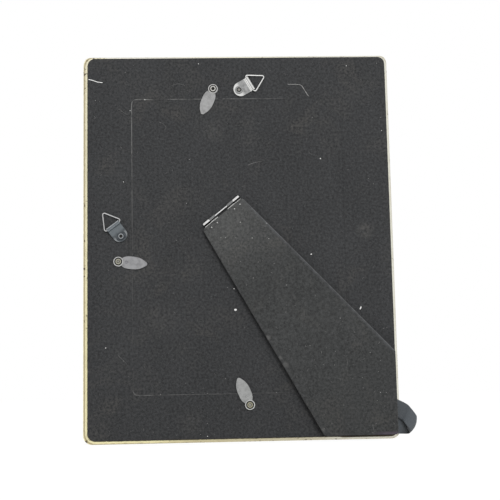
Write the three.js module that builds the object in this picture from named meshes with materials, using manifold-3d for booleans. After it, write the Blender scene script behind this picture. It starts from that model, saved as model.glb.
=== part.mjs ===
// Easel-backed picture frame for a 5 by 7 inch print, standing upright with its flocked back towards -Y.
// Millimetres, +Z up, origin at the middle of the flat underside of the bottom rail.
// Inside the frame group x runs right and y up as seen from the back, and z points out of the back.
import * as THREE from 'three';
import { mergeVertices } from 'three/addons/utils/BufferGeometryUtils.js';
import Module from 'manifold-3d';

const wasm = await Module();
wasm.setup();

// Clearances
const SEAT_GAP = 0.3; // height of the flock pile that metal parts sit on
const RUN_GAP = 0.3; // between parts that turn on each other
const FIT_GAP = 0.15; // round fixed pins, rivets and prongs
const SHEET_GAP = 0.1; // between sheets pressed together
const CUT_OVERRUN = 1; // how far a cutter reaches past the face it opens

// Gilded moulding, its section measured inwards from the outer side and forwards from the back
const OUTER_WIDTH = 189.2;
const OUTER_HEIGHT = 237;
const OUTER_CORNER_RADIUS = 6;
const MOULDING_DEPTH = 18;
const BACK_ROUND = 2.6;
const FRONT_ROUND = 2;
const BAR_WIDTH = 29; // outer side to the wall of the rabbet
const RABBET_DEPTH = 5.5;
const LIP_WIDTH = 5;
const LIP_THICKNESS = 2.5;
const TOP_BEAD_WIDTH = 7;
const TOP_BEAD_ROUND = 1.6;
const TOP_BEAD_STEP = 2.4;
const SCOOP_PULL = 9; // how steeply the scoop falls from the top bead
const SIGHT_BEAD_WIDTH = 3.2;
const MITRE_GLUE_LINE = 0.1;

// Corner nails that pull the mitres together
const NAIL_INSET = 12;
const NAIL_LEG = 5;
const NAIL_THICKNESS = 0.7;
const NAIL_DEPTH = 7;
const NAIL_SINK = 0.4;

// Sheets in the rabbet
const SHEET_PLAY = 0.6;
const GLASS_THICKNESS = 2;
const INSERT_THICKNESS = 0.4;

// Flocked back boards
const BOARD_THICKNESS = 3;
const BOARD_EDGE_ROUND = 0.25;
const PANEL_INSET_SIDE = 2.7;
const PANEL_INSET_END = 2.25;
const PANEL_SHIFT = 0.5; // glued on a little to the right
const PANEL_CORNER_RADIUS = 4.5;
const DOOR_MARGIN_SIDE = 30.1; // outer side of the moulding to the door
const DOOR_MARGIN_END = 28.5;
const DOOR_CORNER_RADIUS = 3;
const DOOR_GAP = 0.15;

// Hollow rivets
const RIVET_BORE_RADIUS = 0.7;
const RIVET_SHANK_RADIUS = 1.2;
const RIVET_HEAD_RADIUS = 2.1;
const RIVET_FLANGE_RADIUS = 2.2;
const RIVET_FLANGE_THICKNESS = 0.5;

// Turn buttons that hold the door
const BUTTON_REACH = 17.4;
const BUTTON_HALF_WIDTH = 3.85;
const BUTTON_WIDEST_AT = 9.2;
const BUTTON_NECK_HALF_WIDTH = 2.3;
const BUTTON_TIP_RADIUS = 1.2;
const BUTTON_TIP_SLOPE = 38; // degrees by which the leaf's sides lean in where the tip begins
const TIP_PULL = 0.7; // how far the sides hold that lean, as a share of the taper
const BUTTON_THICKNESS = 0.8;
const BUTTON_EDGE_ROUND = 0.15;
const BUTTON_EYE_RADIUS = 3.05;
const BUTTON_RIM_WIDTH = 0.55;
const BUTTON_RIM_HEIGHT = 0.45;
const BUTTON_DIMPLE_AT = 5.4;
const BUTTON_DIMPLE_RADIUS = 1.1;
const BUTTON_DIMPLE_DEPTH = 0.3;
const BUTTON_PLACES = [
  { edge: 'top', along: -14.5, setback: 6.2, lean: -24 },
  { edge: 'left', along: -10.1, setback: 8.4, lean: -6 },
  { edge: 'bottom', along: 4.6, setback: 6.8, lean: 23 },
];

// Strap hangers with triangular wire rings
const STRAP_WIDTH = 9;
const STRAP_LENGTH = 12.3;
const STRAP_THICKNESS = 0.6;
const STRAP_RIVET_FROM_END = 3.2;
const RING_WIRE_RADIUS = 0.45;
const RING_SIDE = 12.6;
const RING_CORNER_RADIUS = 1;
const RING_BUTT_GAP = 0.4;
const HANGER_PLACES = [
  { edge: 'top', along: 1.5, setback: 5.2, heading: 29.5 },
  { edge: 'left', along: 5.2, setback: 6.7, heading: 127 },
];

// Easel hinge: u runs along the barrel and v away from it down the leg
const HINGE_X = -10.7;
const HINGE_Y = 19.9;
const HINGE_ANGLE = 38.7;
const BARREL_LENGTH = 27.5;
const END_KNUCKLE = 4.5;
const LEG_KNUCKLE = 4.2;
const PIN_RADIUS = 0.6; // bare between the two knuckles of the leg
const PIN_PLAY = 0.2;
const PIN_PROUD = 0.2;
const LEAF_THICKNESS = 0.4;
const LEAF_LENGTH = 9;
const LOBE_LENGTH = 10; // of barrel along which the leg's leaf shows, from each end
const PRONG_RADIUS = 0.36;
const PRONG_ROW = 4.5;
const PRONG_OUTER = 11.1;
const PRONG_INNER = 6.7;
const PRONG_PROUD = 0.2;

// Easel leg, cut square to the frame's bottom and side so that it stands both ways
const LEG_THICKNESS = 2.6;
const LEG_EDGE_ROUND = 0.45;
const LEG_TOP_GAP = 2.1; // barrel axis to the end of the board
const LEG_TOP_WIDTH = 31;
const LEG_TOP_OFFSET = -0.7;
const LEG_TAPER_LEFT = 9.2;
const LEG_TAPER_RIGHT = 4.85;
const LEG_CORNER_RADIUS = 2;
const FOOT_INSET_SIDE = 0.7;
const FOOT_INSET_BOTTOM = 0.5;
const LEG_REST_ANGLE = 0.8; // held off the back by the folded stay

// Ribbon stay, folded aslant and tucked under the leg
const RIBBON_WIDTH = 11;
const RIBBON_THICKNESS = 0.4;
const RIBBON_REACH = 9; // fold past the side of the back panel
const RIBBON_RISE = 6.6; // fold above the lower edge of the back panel
const FOLD_ANGLE = 68;
const FOLD_SKEW = 14;
const FOLD_DEPTH = 5.5; // of the loose turn, measured square to the fold
const FOLD_HEIGHT = 4.6;
const LEG_RUN = 40;
const PANEL_RUN = 33;
const STAPLE_WIRE = 0.6;
const STAPLE_LEG = 1.8;
const STAPLE_FROM_END = 4;

// Materials
const gold = new THREE.MeshStandardMaterial({ color: 0xb9974f, roughness: 0.45, metalness: 0.7 });
const flock = new THREE.MeshStandardMaterial({ color: 0x2b2c2d, roughness: 0.95, metalness: 0 });
const zinc = new THREE.MeshStandardMaterial({ color: 0x9a9b9c, roughness: 0.4, metalness: 0.9 });
const nickel = new THREE.MeshStandardMaterial({ color: 0xd0d1d0, roughness: 0.25, metalness: 1 });
const brassy = new THREE.MeshStandardMaterial({ color: 0xb9b49a, roughness: 0.3, metalness: 1 });
const steel = new THREE.MeshStandardMaterial({ color: 0x8c8f92, roughness: 0.35, metalness: 1 });
const glass = new THREE.MeshStandardMaterial({
  color: 0xdfe8e6, roughness: 0.05, metalness: 0, transparent: true, opacity: 0.3,
});
const paper = new THREE.MeshStandardMaterial({ color: 0xe9e4d8, roughness: 0.8, metalness: 0 });
const card = new THREE.MeshStandardMaterial({ color: 0x8f887b, roughness: 0.9, metalness: 0 });
const satin = new THREE.MeshStandardMaterial({ color: 0x33373b, roughness: 0.6, metalness: 0 });

// Sizes that follow from the ones above
const radians = THREE.MathUtils.degToRad;
const PANEL_WIDTH = OUTER_WIDTH - 2 * PANEL_INSET_SIDE;
const PANEL_HEIGHT = OUTER_HEIGHT - 2 * PANEL_INSET_END;
const PANEL_RIGHT = PANEL_SHIFT + PANEL_WIDTH / 2;
const DOOR_WIDTH = OUTER_WIDTH - 2 * DOOR_MARGIN_SIDE;
const DOOR_HEIGHT = OUTER_HEIGHT - 2 * DOOR_MARGIN_END;
const SHEET_WIDTH = OUTER_WIDTH - 2 * (BAR_WIDTH + SHEET_PLAY);
const SHEET_HEIGHT = OUTER_HEIGHT - 2 * (BAR_WIDTH + SHEET_PLAY);
const LIP_BACK = -BOARD_THICKNESS - RABBET_DEPTH;
const BUTTON_TOP = SEAT_GAP + BUTTON_THICKNESS;
const STRAP_TOP = SEAT_GAP + 2 * STRAP_THICKNESS;
const LOOP_BORE_RADIUS = RING_WIRE_RADIUS + RUN_GAP;
const LOOP_RADIUS = LOOP_BORE_RADIUS + STRAP_THICKNESS;
const LOOP_Y = STRAP_LENGTH - STRAP_RIVET_FROM_END - LOOP_RADIUS;
const LOOP_Z = SEAT_GAP + LOOP_RADIUS;
const RING_HEIGHT = RING_SIDE * Math.sin(radians(60)) - RING_CORNER_RADIUS;
const RING_REST_TILT = Math.asin((LOOP_Z - SEAT_GAP - RING_WIRE_RADIUS) / RING_HEIGHT);
const KNUCKLE_BORE = PIN_RADIUS + PIN_PLAY;
const KNUCKLE_RADIUS = KNUCKLE_BORE + LEAF_THICKNESS;
const LEAF_START = KNUCKLE_RADIUS + RUN_GAP;
const AXIS_HEIGHT = SEAT_GAP + KNUCKLE_RADIUS;
const LEG_LEAF_TOP = 2 * LEAF_THICKNESS - KNUCKLE_RADIUS + RUN_GAP;
const LEG_UNDERSIDE = LEG_LEAF_TOP + SHEET_GAP;
const LEAF_UNDER_BOARD = -LEG_TOP_GAP - LEAF_THICKNESS;

// Turns a closed geometry into a solid that can be joined and cut
function solid(geometry) {
  const bare = geometry.clone();
  bare.deleteAttribute('normal');
  bare.deleteAttribute('uv');
  const merged = mergeVertices(bare, 1e-5);
  return new wasm.Manifold(new wasm.Mesh({
    numProp: 3,
    vertProperties: Float32Array.from(merged.attributes.position.array),
    triVerts: Uint32Array.from(merged.index.array),
  }));
}

function geometryOf(body) {
  const mesh = body.getMesh();
  const geometry = new THREE.BufferGeometry();
  geometry.setAttribute('position', new THREE.BufferAttribute(mesh.vertProperties, 3));
  geometry.setIndex(new THREE.BufferAttribute(mesh.triVerts, 1));
  geometry.computeVertexNormals();
  return geometry;
}

function place(parent, name, geometry, material) {
  const mesh = new THREE.Mesh(geometry, material);
  mesh.name = name;
  parent.add(mesh);
  return mesh;
}

function groupAt(parent, x, y, z, turn) {
  const group = new THREE.Group();
  group.position.set(x, y, z);
  group.rotation.z = turn;
  parent.add(group);
  return group;
}

// A plain prism from one height to another
function prism(shape, low, high, curveSegments = 8) {
  const geometry = new THREE.ExtrudeGeometry(shape, { depth: high - low, bevelEnabled: false, curveSegments });
  return geometry.translate(0, 0, low);
}

// A prism with softened edges that keeps the outline's full size
function softPrism(shape, low, high, round, curveSegments = 6) {
  const geometry = new THREE.ExtrudeGeometry(shape, {
    depth: high - low - 2 * round,
    bevelThickness: round,
    bevelSize: round,
    bevelOffset: -round,
    bevelSegments: 2,
    curveSegments,
  });
  return geometry.translate(0, 0, low + round);
}

function rod(radius, low, high, sides) {
  const geometry = new THREE.CylinderGeometry(radius, radius, high - low, sides);
  return geometry.rotateX(Math.PI / 2).translate(0, 0, (low + high) / 2);
}

function polygon(points) {
  return new THREE.Shape(points.map(([x, y]) => new THREE.Vector2(x, y)));
}

function rectangle(left, bottom, right, top) {
  return polygon([[left, bottom], [right, bottom], [right, top], [left, top]]);
}

// An outline through the given corners with each one rounded
function roundedOutline(corners, radius) {
  const shape = new THREE.Shape();
  corners.forEach((corner, i) => {
    const before = corners[(i + corners.length - 1) % corners.length];
    const after = corners[(i + 1) % corners.length];
    const back = before.clone().sub(corner).normalize();
    const ahead = after.clone().sub(corner).normalize();
    const halfAngle = Math.acos(THREE.MathUtils.clamp(back.dot(ahead), -1, 1)) / 2;
    const tangent = radius / Math.tan(halfAngle);
    const bisector = back.clone().add(ahead).normalize();
    const centre = corner.clone().addScaledVector(bisector, radius / Math.sin(halfAngle));
    const from = corner.clone().addScaledVector(back, tangent).sub(centre);
    const to = corner.clone().addScaledVector(ahead, tangent).sub(centre);
    const clockwise = back.cross(ahead) > 0;
    shape.absarc(centre.x, centre.y, radius, from.angle(), to.angle(), clockwise);
  });
  shape.closePath();
  return shape;
}

function roundedRectangle(width, height, radius, middle = 0) {
  const corners = [[-1, -1], [1, -1], [1, 1], [-1, 1]]
    .map(([x, y]) => new THREE.Vector2(middle + x * width / 2, y * height / 2));
  return roundedOutline(corners, radius);
}

// A point beside one edge of the door, with the direction that points square onto the door
function besideDoor({ edge, along, setback }) {
  if (edge === 'top') return { x: along, y: DOOR_HEIGHT / 2 + setback, inward: -90 };
  if (edge === 'bottom') return { x: along, y: -DOOR_HEIGHT / 2 - setback, inward: 90 };
  return { x: -DOOR_WIDTH / 2 - setback, y: along, inward: 0 };
}

// Moulding: rounded back shoulder, flat side, top bead, scoop, sight bead and rabbet
function mouldingSection() {
  const sight = BAR_WIDTH + LIP_WIDTH;
  const lipFront = RABBET_DEPTH + LIP_THICKNESS;
  const beadEdge = TOP_BEAD_WIDTH - TOP_BEAD_ROUND;
  const beadRadius = SIGHT_BEAD_WIDTH / 2;
  const section = new THREE.Shape();
  section.moveTo(BAR_WIDTH, 0);
  section.lineTo(BACK_ROUND, 0);
  section.absarc(BACK_ROUND, BACK_ROUND, BACK_ROUND, -Math.PI / 2, -Math.PI, true);
  section.lineTo(0, MOULDING_DEPTH - FRONT_ROUND);
  section.absarc(FRONT_ROUND, MOULDING_DEPTH - FRONT_ROUND, FRONT_ROUND, Math.PI, Math.PI / 2, true);
  section.lineTo(beadEdge, MOULDING_DEPTH);
  section.absarc(beadEdge, MOULDING_DEPTH - TOP_BEAD_ROUND, TOP_BEAD_ROUND, Math.PI / 2, 0, true);
  section.lineTo(TOP_BEAD_WIDTH, MOULDING_DEPTH - TOP_BEAD_STEP);
  section.quadraticCurveTo(TOP_BEAD_WIDTH + SCOOP_PULL, lipFront, sight - SIGHT_BEAD_WIDTH, lipFront);
  section.absarc(sight - beadRadius, lipFront, beadRadius, Math.PI, 0, true);
  section.lineTo(sight, RABBET_DEPTH);
  section.lineTo(BAR_WIDTH, RABBET_DEPTH);
  section.closePath();
  return section;
}

// The L-shaped plan of a corner nail, legs along -x and +y, grown by a clearance
function nailPlan(clearance) {
  const near = -NAIL_THICKNESS - clearance;
  const far = NAIL_LEG + clearance;
  return polygon([
    [clearance, -clearance], [clearance, far], [near, far], [near, -near], [-far, -near], [-far, -clearance],
  ]);
}

// What a rounded corner takes off the square end of a rail
function cornerWaste() {
  const r = OUTER_CORNER_RADIUS;
  const waste = new THREE.Shape();
  waste.moveTo(-r, 0);
  waste.lineTo(-r, -CUT_OVERRUN);
  waste.lineTo(CUT_OVERRUN, -CUT_OVERRUN);
  waste.lineTo(CUT_OVERRUN, r);
  waste.lineTo(0, r);
  waste.absarc(-r, r, r, 0, -Math.PI / 2, true);
  return waste;
}

// One rail with its outer side on y = 0, cut back at both ends along the mitres
function railGeometry(length) {
  const bar = new THREE.ExtrudeGeometry(mouldingSection(), {
    depth: length, bevelEnabled: false, curveSegments: 8,
  });
  const points = bar.attributes.position;
  for (let i = 0; i < points.count; i += 1) {
    const inwards = points.getX(i);
    const end = points.getZ(i) > length / 2 ? -1 : 1;
    const along = end * (length / 2 - inwards - MITRE_GLUE_LINE * Math.SQRT1_2);
    points.setXYZ(i, along, inwards, -BOARD_THICKNESS - points.getY(i));
  }
  const front = -BOARD_THICKNESS - MOULDING_DEPTH;
  const waste = prism(cornerWaste(), front - CUT_OVERRUN, CUT_OVERRUN, 10).translate(length / 2, 0, 0);
  const pocketFloor = -BOARD_THICKNESS - NAIL_SINK - NAIL_DEPTH - FIT_GAP;
  const pocket = prism(nailPlan(FIT_GAP), pocketFloor, -BOARD_THICKNESS + CUT_OVERRUN)
    .translate(length / 2 - NAIL_INSET, NAIL_INSET, 0);
  let rail = solid(bar);
  [waste, pocket].forEach((cutter) => {
    const cut = solid(cutter);
    rail = rail.subtract(cut).subtract(cut.mirror([1, 0, 0]));
  });
  return geometryOf(rail);
}

function addMoulding(frame) {
  const sides = [
    { name: 'bottom_rail', length: OUTER_WIDTH, x: 0, y: -OUTER_HEIGHT / 2, turn: 0 },
    { name: 'right_stile', length: OUTER_HEIGHT, x: OUTER_WIDTH / 2, y: 0, turn: 90 },
    { name: 'top_rail', length: OUTER_WIDTH, x: 0, y: OUTER_HEIGHT / 2, turn: 180 },
    { name: 'left_stile', length: OUTER_HEIGHT, x: -OUTER_WIDTH / 2, y: 0, turn: 270 },
  ];
  sides.forEach(({ name, length, x, y, turn }) => {
    place(groupAt(frame, x, y, 0, radians(turn)), name, railGeometry(length), gold);
  });
  const corners = [
    { name: 'corner_nail_bottom_right', x: 1, y: -1, turn: 0 },
    { name: 'corner_nail_top_right', x: 1, y: 1, turn: 90 },
    { name: 'corner_nail_top_left', x: -1, y: 1, turn: 180 },
    { name: 'corner_nail_bottom_left', x: -1, y: -1, turn: 270 },
  ];
  const nailTop = -BOARD_THICKNESS - NAIL_SINK;
  corners.forEach(({ name, x, y, turn }) => {
    const nailX = x * (OUTER_WIDTH / 2 - NAIL_INSET);
    const nailY = y * (OUTER_HEIGHT / 2 - NAIL_INSET);
    const corner = groupAt(frame, nailX, nailY, 0, radians(turn));
    place(corner, name, prism(nailPlan(0), nailTop - NAIL_DEPTH, nailTop), steel);
  });
}

// Glass, paper insert and filler card, stacked from the lip back to the door
function addSheets(frame) {
  const sheet = rectangle(-SHEET_WIDTH / 2, -SHEET_HEIGHT / 2, SHEET_WIDTH / 2, SHEET_HEIGHT / 2);
  const glassBack = LIP_BACK + SHEET_GAP + GLASS_THICKNESS;
  const insertBack = glassBack + SHEET_GAP + INSERT_THICKNESS;
  place(frame, 'glass_pane', prism(sheet, LIP_BACK + SHEET_GAP, glassBack), glass);
  place(frame, 'paper_insert', prism(sheet, glassBack + SHEET_GAP, insertBack), paper);
  place(frame, 'filler_card', prism(sheet, insertBack + SHEET_GAP, -BOARD_THICKNESS - SHEET_GAP), card);
}

// Prong positions along and across the hinge
function prongSpots() {
  return [-PRONG_OUTER, -PRONG_INNER, PRONG_INNER, PRONG_OUTER].map((u) => [u, -PRONG_ROW]);
}

// From hinge coordinates to frame coordinates and back
function fromHinge(u, y) {
  return new THREE.Vector2(u, y).rotateAround(new THREE.Vector2(), radians(HINGE_ANGLE))
    .add(new THREE.Vector2(HINGE_X, HINGE_Y));
}

function toHinge(point) {
  return point.clone().sub(new THREE.Vector2(HINGE_X, HINGE_Y))
    .rotateAround(new THREE.Vector2(), radians(-HINGE_ANGLE));
}

// Unit vector at an angle given in degrees
function heading(degrees) {
  return new THREE.Vector2(Math.cos(radians(degrees)), Math.sin(radians(degrees)));
}

// The ribbon's fold: where it is, and the directions along it and across it
function ribbonFold() {
  return {
    centre: new THREE.Vector2(PANEL_RIGHT + RIBBON_REACH, -PANEL_HEIGHT / 2 + RIBBON_RISE),
    along: heading(FOLD_ANGLE),
    across: heading(FOLD_ANGLE - 90),
  };
}

// Where each end of the ribbon is stapled, and the direction of the run that leads to it.
// The turn takes more ribbon than a flat fold would, and that shifts both runs along the fold.
function stapleSpot(end) {
  const fold = ribbonFold();
  const { legLength, panelLength, lean } = ribbonProfile();
  const run = end === 'leg' ? LEG_RUN : PANEL_RUN;
  const side = end === 'leg' ? 1 : -1;
  const taken = (end === 'leg' ? legLength : panelLength) - run * lean;
  const angle = FOLD_ANGLE + 90 - side * FOLD_SKEW;
  const point = fold.centre.clone()
    .addScaledVector(heading(angle), run - STAPLE_FROM_END)
    .addScaledVector(fold.along, side * taken * Math.tan(radians(FOLD_SKEW)));
  return { point, angle };
}

// Half the distance between a staple's legs, which straddle the ribbon
function stapleHalfSpan() {
  return RIBBON_WIDTH / 2 + RUN_GAP + STAPLE_WIRE / 2;
}

// A staple with its crown above z = 0 and its legs below
function stapleGeometry(legLength) {
  const inner = stapleHalfSpan() - STAPLE_WIRE / 2;
  const outer = inner + STAPLE_WIRE;
  const outline = polygon([
    [-outer, -legLength], [-inner, -legLength], [-inner, 0], [inner, 0],
    [inner, -legLength], [outer, -legLength], [outer, STAPLE_WIRE], [-outer, STAPLE_WIRE],
  ]);
  const bent = prism(outline, -STAPLE_WIRE / 2, STAPLE_WIRE / 2);
  return bent.rotateX(Math.PI / 2);
}

// The pair of holes that a staple's legs go into
function stapleHoles(low, high) {
  const half = STAPLE_WIRE / 2 + FIT_GAP;
  return [-1, 1].map((side) => {
    const x = side * stapleHalfSpan();
    return prism(rectangle(x - half, -half, x + half, half), low, high);
  });
}

function drill(body, cutters) {
  return cutters.reduce((left, cutter) => left.subtract(solid(cutter)), body);
}

// Fixed panel round the door, with holes for the rivets and for the ribbon's staple
function addPanel(frame) {
  const outline = roundedRectangle(PANEL_WIDTH, PANEL_HEIGHT, PANEL_CORNER_RADIUS, PANEL_SHIFT);
  const opening = roundedRectangle(
    DOOR_WIDTH + 2 * DOOR_GAP,
    DOOR_HEIGHT + 2 * DOOR_GAP,
    DOOR_CORNER_RADIUS + DOOR_GAP,
  );
  outline.holes.push(opening);
  const counterbore = -BOARD_THICKNESS + SHEET_GAP + RIVET_FLANGE_THICKNESS + FIT_GAP;
  const cutters = [...BUTTON_PLACES, ...HANGER_PLACES].flatMap((spot) => {
    const { x, y } = besideDoor(spot);
    const hole = rod(RIVET_SHANK_RADIUS + FIT_GAP, -BOARD_THICKNESS - CUT_OVERRUN, CUT_OVERRUN, 16);
    const bed = rod(RIVET_FLANGE_RADIUS + FIT_GAP, -BOARD_THICKNESS - CUT_OVERRUN, counterbore, 16);
    return [hole.translate(x, y, 0), bed.translate(x, y, 0)];
  });
  const staple = stapleSpot('panel');
  stapleHoles(-STAPLE_LEG - FIT_GAP, CUT_OVERRUN).forEach((hole) => {
    cutters.push(hole.rotateZ(radians(staple.angle - 90)).translate(staple.point.x, staple.point.y, 0));
  });
  const board = solid(softPrism(outline, -BOARD_THICKNESS, 0, BOARD_EDGE_ROUND));
  place(frame, 'back_panel', geometryOf(drill(board, cutters)), flock);
}

// Lift-out door with the hinge's prong holes
function addDoor(frame) {
  const outline = roundedRectangle(DOOR_WIDTH, DOOR_HEIGHT, DOOR_CORNER_RADIUS);
  const holes = prongSpots().map(([u, y]) => {
    const at = fromHinge(u, y);
    return rod(PRONG_RADIUS + FIT_GAP, -BOARD_THICKNESS - CUT_OVERRUN, CUT_OVERRUN, 10).translate(at.x, at.y, 0);
  });
  const board = solid(softPrism(outline, -BOARD_THICKNESS, 0, BOARD_EDGE_ROUND));
  place(frame, 'back_door', geometryOf(drill(board, holes)), flock);
}

// A hollow rivet: flat flange inside the panel, rolled head on what it holds
function rivetGeometry(seat) {
  const foot = -BOARD_THICKNESS + SHEET_GAP;
  const flangeTop = foot + RIVET_FLANGE_THICKNESS;
  const rollRadius = (RIVET_HEAD_RADIUS - RIVET_BORE_RADIUS) / 2;
  const profile = new THREE.Path();
  profile.moveTo(RIVET_BORE_RADIUS, foot);
  profile.lineTo(RIVET_FLANGE_RADIUS, foot);
  profile.lineTo(RIVET_FLANGE_RADIUS, flangeTop);
  profile.lineTo(RIVET_SHANK_RADIUS, flangeTop);
  profile.lineTo(RIVET_SHANK_RADIUS, seat);
  profile.lineTo(RIVET_HEAD_RADIUS, seat);
  profile.absarc(RIVET_BORE_RADIUS + rollRadius, seat, rollRadius, 0, Math.PI, false);
  profile.lineTo(RIVET_BORE_RADIUS, foot);
  return new THREE.LatheGeometry(profile.getPoints(3), 18).rotateX(Math.PI / 2);
}

// Leaf-shaped plate with a round eye at its pivot
function buttonOutline() {
  const neckY = Math.sqrt(BUTTON_EYE_RADIUS ** 2 - BUTTON_NECK_HALF_WIDTH ** 2);
  const neckAngle = Math.atan2(neckY, BUTTON_NECK_HALF_WIDTH);
  const tipY = BUTTON_REACH - BUTTON_TIP_RADIUS;
  const belly = (BUTTON_WIDEST_AT - neckY) / 2;
  const taper = (tipY - BUTTON_WIDEST_AT) / 2;
  const slope = radians(BUTTON_TIP_SLOPE);
  const tipX = BUTTON_TIP_RADIUS * Math.cos(slope);
  const tipStart = tipY + BUTTON_TIP_RADIUS * Math.sin(slope);
  const nearX = tipX + taper * Math.sin(slope) * TIP_PULL;
  const nearY = tipStart - taper * Math.cos(slope) * TIP_PULL;
  const outline = new THREE.Shape();
  outline.moveTo(BUTTON_NECK_HALF_WIDTH, neckY);
  outline.bezierCurveTo(
    BUTTON_HALF_WIDTH, neckY + belly / 2,
    BUTTON_HALF_WIDTH, BUTTON_WIDEST_AT - belly,
    BUTTON_HALF_WIDTH, BUTTON_WIDEST_AT,
  );
  outline.bezierCurveTo(
    BUTTON_HALF_WIDTH, BUTTON_WIDEST_AT + taper,
    nearX, nearY,
    tipX, tipStart,
  );
  outline.absarc(0, tipY, BUTTON_TIP_RADIUS, slope, Math.PI - slope, false);
  outline.bezierCurveTo(
    -nearX, nearY,
    -BUTTON_HALF_WIDTH, BUTTON_WIDEST_AT + taper,
    -BUTTON_HALF_WIDTH, BUTTON_WIDEST_AT,
  );
  outline.bezierCurveTo(
    -BUTTON_HALF_WIDTH, BUTTON_WIDEST_AT - belly,
    -BUTTON_HALF_WIDTH, neckY + belly / 2,
    -BUTTON_NECK_HALF_WIDTH, neckY,
  );
  outline.absarc(0, 0, BUTTON_EYE_RADIUS, Math.PI - neckAngle, neckAngle, false);
  return outline;
}

function buttonGeometry() {
  const leaf = softPrism(buttonOutline(), SEAT_GAP, BUTTON_TOP, BUTTON_EDGE_ROUND);
  const rimPlan = new THREE.Shape().absarc(0, 0, BUTTON_EYE_RADIUS - BUTTON_EDGE_ROUND, 0, 2 * Math.PI, false);
  const rimInside = BUTTON_EYE_RADIUS - BUTTON_EDGE_ROUND - BUTTON_RIM_WIDTH;
  rimPlan.holes.push(new THREE.Path().absarc(0, 0, rimInside, 0, 2 * Math.PI, true));
  const rim = prism(rimPlan, SEAT_GAP + BUTTON_THICKNESS / 2, BUTTON_TOP + BUTTON_RIM_HEIGHT, 10);
  const hole = rod(RIVET_SHANK_RADIUS + RUN_GAP, SEAT_GAP - CUT_OVERRUN, BUTTON_TOP + CUT_OVERRUN, 20);
  const dimple = new THREE.SphereGeometry(BUTTON_DIMPLE_RADIUS, 12, 8)
    .translate(0, BUTTON_DIMPLE_AT, BUTTON_TOP + BUTTON_DIMPLE_RADIUS - BUTTON_DIMPLE_DEPTH);
  return geometryOf(drill(solid(leaf).add(solid(rim)), [hole, dimple]));
}

function addButtons(frame) {
  BUTTON_PLACES.forEach((spot) => {
    const { x, y, inward } = besideDoor(spot);
    const rivet = groupAt(frame, x, y, 0, 0);
    place(rivet, `button_rivet_${spot.edge}`, rivetGeometry(BUTTON_TOP + FIT_GAP), brassy);
    const button = groupAt(frame, x, y, 0, radians(inward + spot.lean - 90));
    place(button, `turn_button_${spot.edge}`, buttonGeometry(), zinc);
  });
}

// Sheet strip folded round the ring's wire, with a round end at the rivet
function strapGeometry() {
  const end = -STRAP_RIVET_FROM_END;
  const crease = LOOP_Y - Math.sqrt(LOOP_RADIUS ** 2 - (STRAP_TOP - LOOP_Z) ** 2);
  const creaseAngle = Math.atan2(STRAP_TOP - LOOP_Z, crease - LOOP_Y);
  const side = new THREE.Shape();
  side.moveTo(end, SEAT_GAP);
  side.lineTo(LOOP_Y, SEAT_GAP);
  side.absarc(LOOP_Y, LOOP_Z, LOOP_RADIUS, -Math.PI / 2, creaseAngle, false);
  side.lineTo(end, STRAP_TOP);
  side.closePath();
  side.holes.push(new THREE.Path().absarc(LOOP_Y, LOOP_Z, LOOP_BORE_RADIUS, 0, 2 * Math.PI, true));
  const strip = prism(side, -STRAP_WIDTH / 2, STRAP_WIDTH / 2, 8);
  const upright = new THREE.Matrix4().makeBasis(
    new THREE.Vector3(0, 1, 0),
    new THREE.Vector3(0, 0, 1),
    new THREE.Vector3(1, 0, 0),
  );
  strip.applyMatrix4(upright);
  const roundEnd = new THREE.Shape();
  const half = STRAP_WIDTH / 2;
  const far = STRAP_LENGTH + CUT_OVERRUN;
  roundEnd.moveTo(half, far);
  roundEnd.lineTo(-half, far);
  roundEnd.absarc(0, end + half, half, Math.PI, 2 * Math.PI, false);
  roundEnd.closePath();
  const trim = prism(roundEnd, 0, LOOP_Z + LOOP_RADIUS + CUT_OVERRUN, 10);
  const hole = rod(RIVET_SHANK_RADIUS + FIT_GAP, SEAT_GAP - CUT_OVERRUN, STRAP_TOP + CUT_OVERRUN, 16);
  return geometryOf(drill(solid(strip).intersect(solid(trim)), [hole]));
}

// Triangle of wire whose ends meet inside the strap's loop
function ringGeometry() {
  const apex = new THREE.Vector2(0, RING_SIDE * Math.sin(radians(60)));
  const right = new THREE.Vector2(RING_SIDE / 2, 0);
  const left = new THREE.Vector2(-RING_SIDE / 2, 0);
  const bends = roundedOutline([right, apex, left], RING_CORNER_RADIUS).getPoints(4).slice(0, -1);
  const flat = [
    new THREE.Vector2(RING_BUTT_GAP / 2, 0),
    ...bends,
    new THREE.Vector2(-RING_BUTT_GAP / 2, 0),
  ];
  const path = new THREE.CurvePath();
  for (let i = 1; i < flat.length; i += 1) {
    const from = new THREE.Vector3(flat[i - 1].x, flat[i - 1].y, 0);
    const to = new THREE.Vector3(flat[i].x, flat[i].y, 0);
    path.add(new THREE.LineCurve3(from, to));
  }
  const wire = new THREE.Shape().absarc(0, 0, RING_WIRE_RADIUS, 0, 2 * Math.PI, false);
  return new THREE.ExtrudeGeometry(wire, {
    steps: 60, extrudePath: path, bevelEnabled: false, curveSegments: 4,
  });
}

function addHangers(frame) {
  HANGER_PLACES.forEach((spot) => {
    const { x, y } = besideDoor(spot);
    const hanger = groupAt(frame, x, y, 0, radians(spot.heading - 90));
    place(hanger, `hanger_strap_${spot.edge}`, strapGeometry(), nickel);
    place(hanger, `hanger_rivet_${spot.edge}`, rivetGeometry(STRAP_TOP + FIT_GAP), brassy);
    const ring = groupAt(hanger, 0, LOOP_Y, LOOP_Z, 0);
    ring.rotation.x = -RING_REST_TILT;
    place(ring, `hanger_ring_${spot.edge}`, ringGeometry(), nickel);
  });
}

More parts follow.
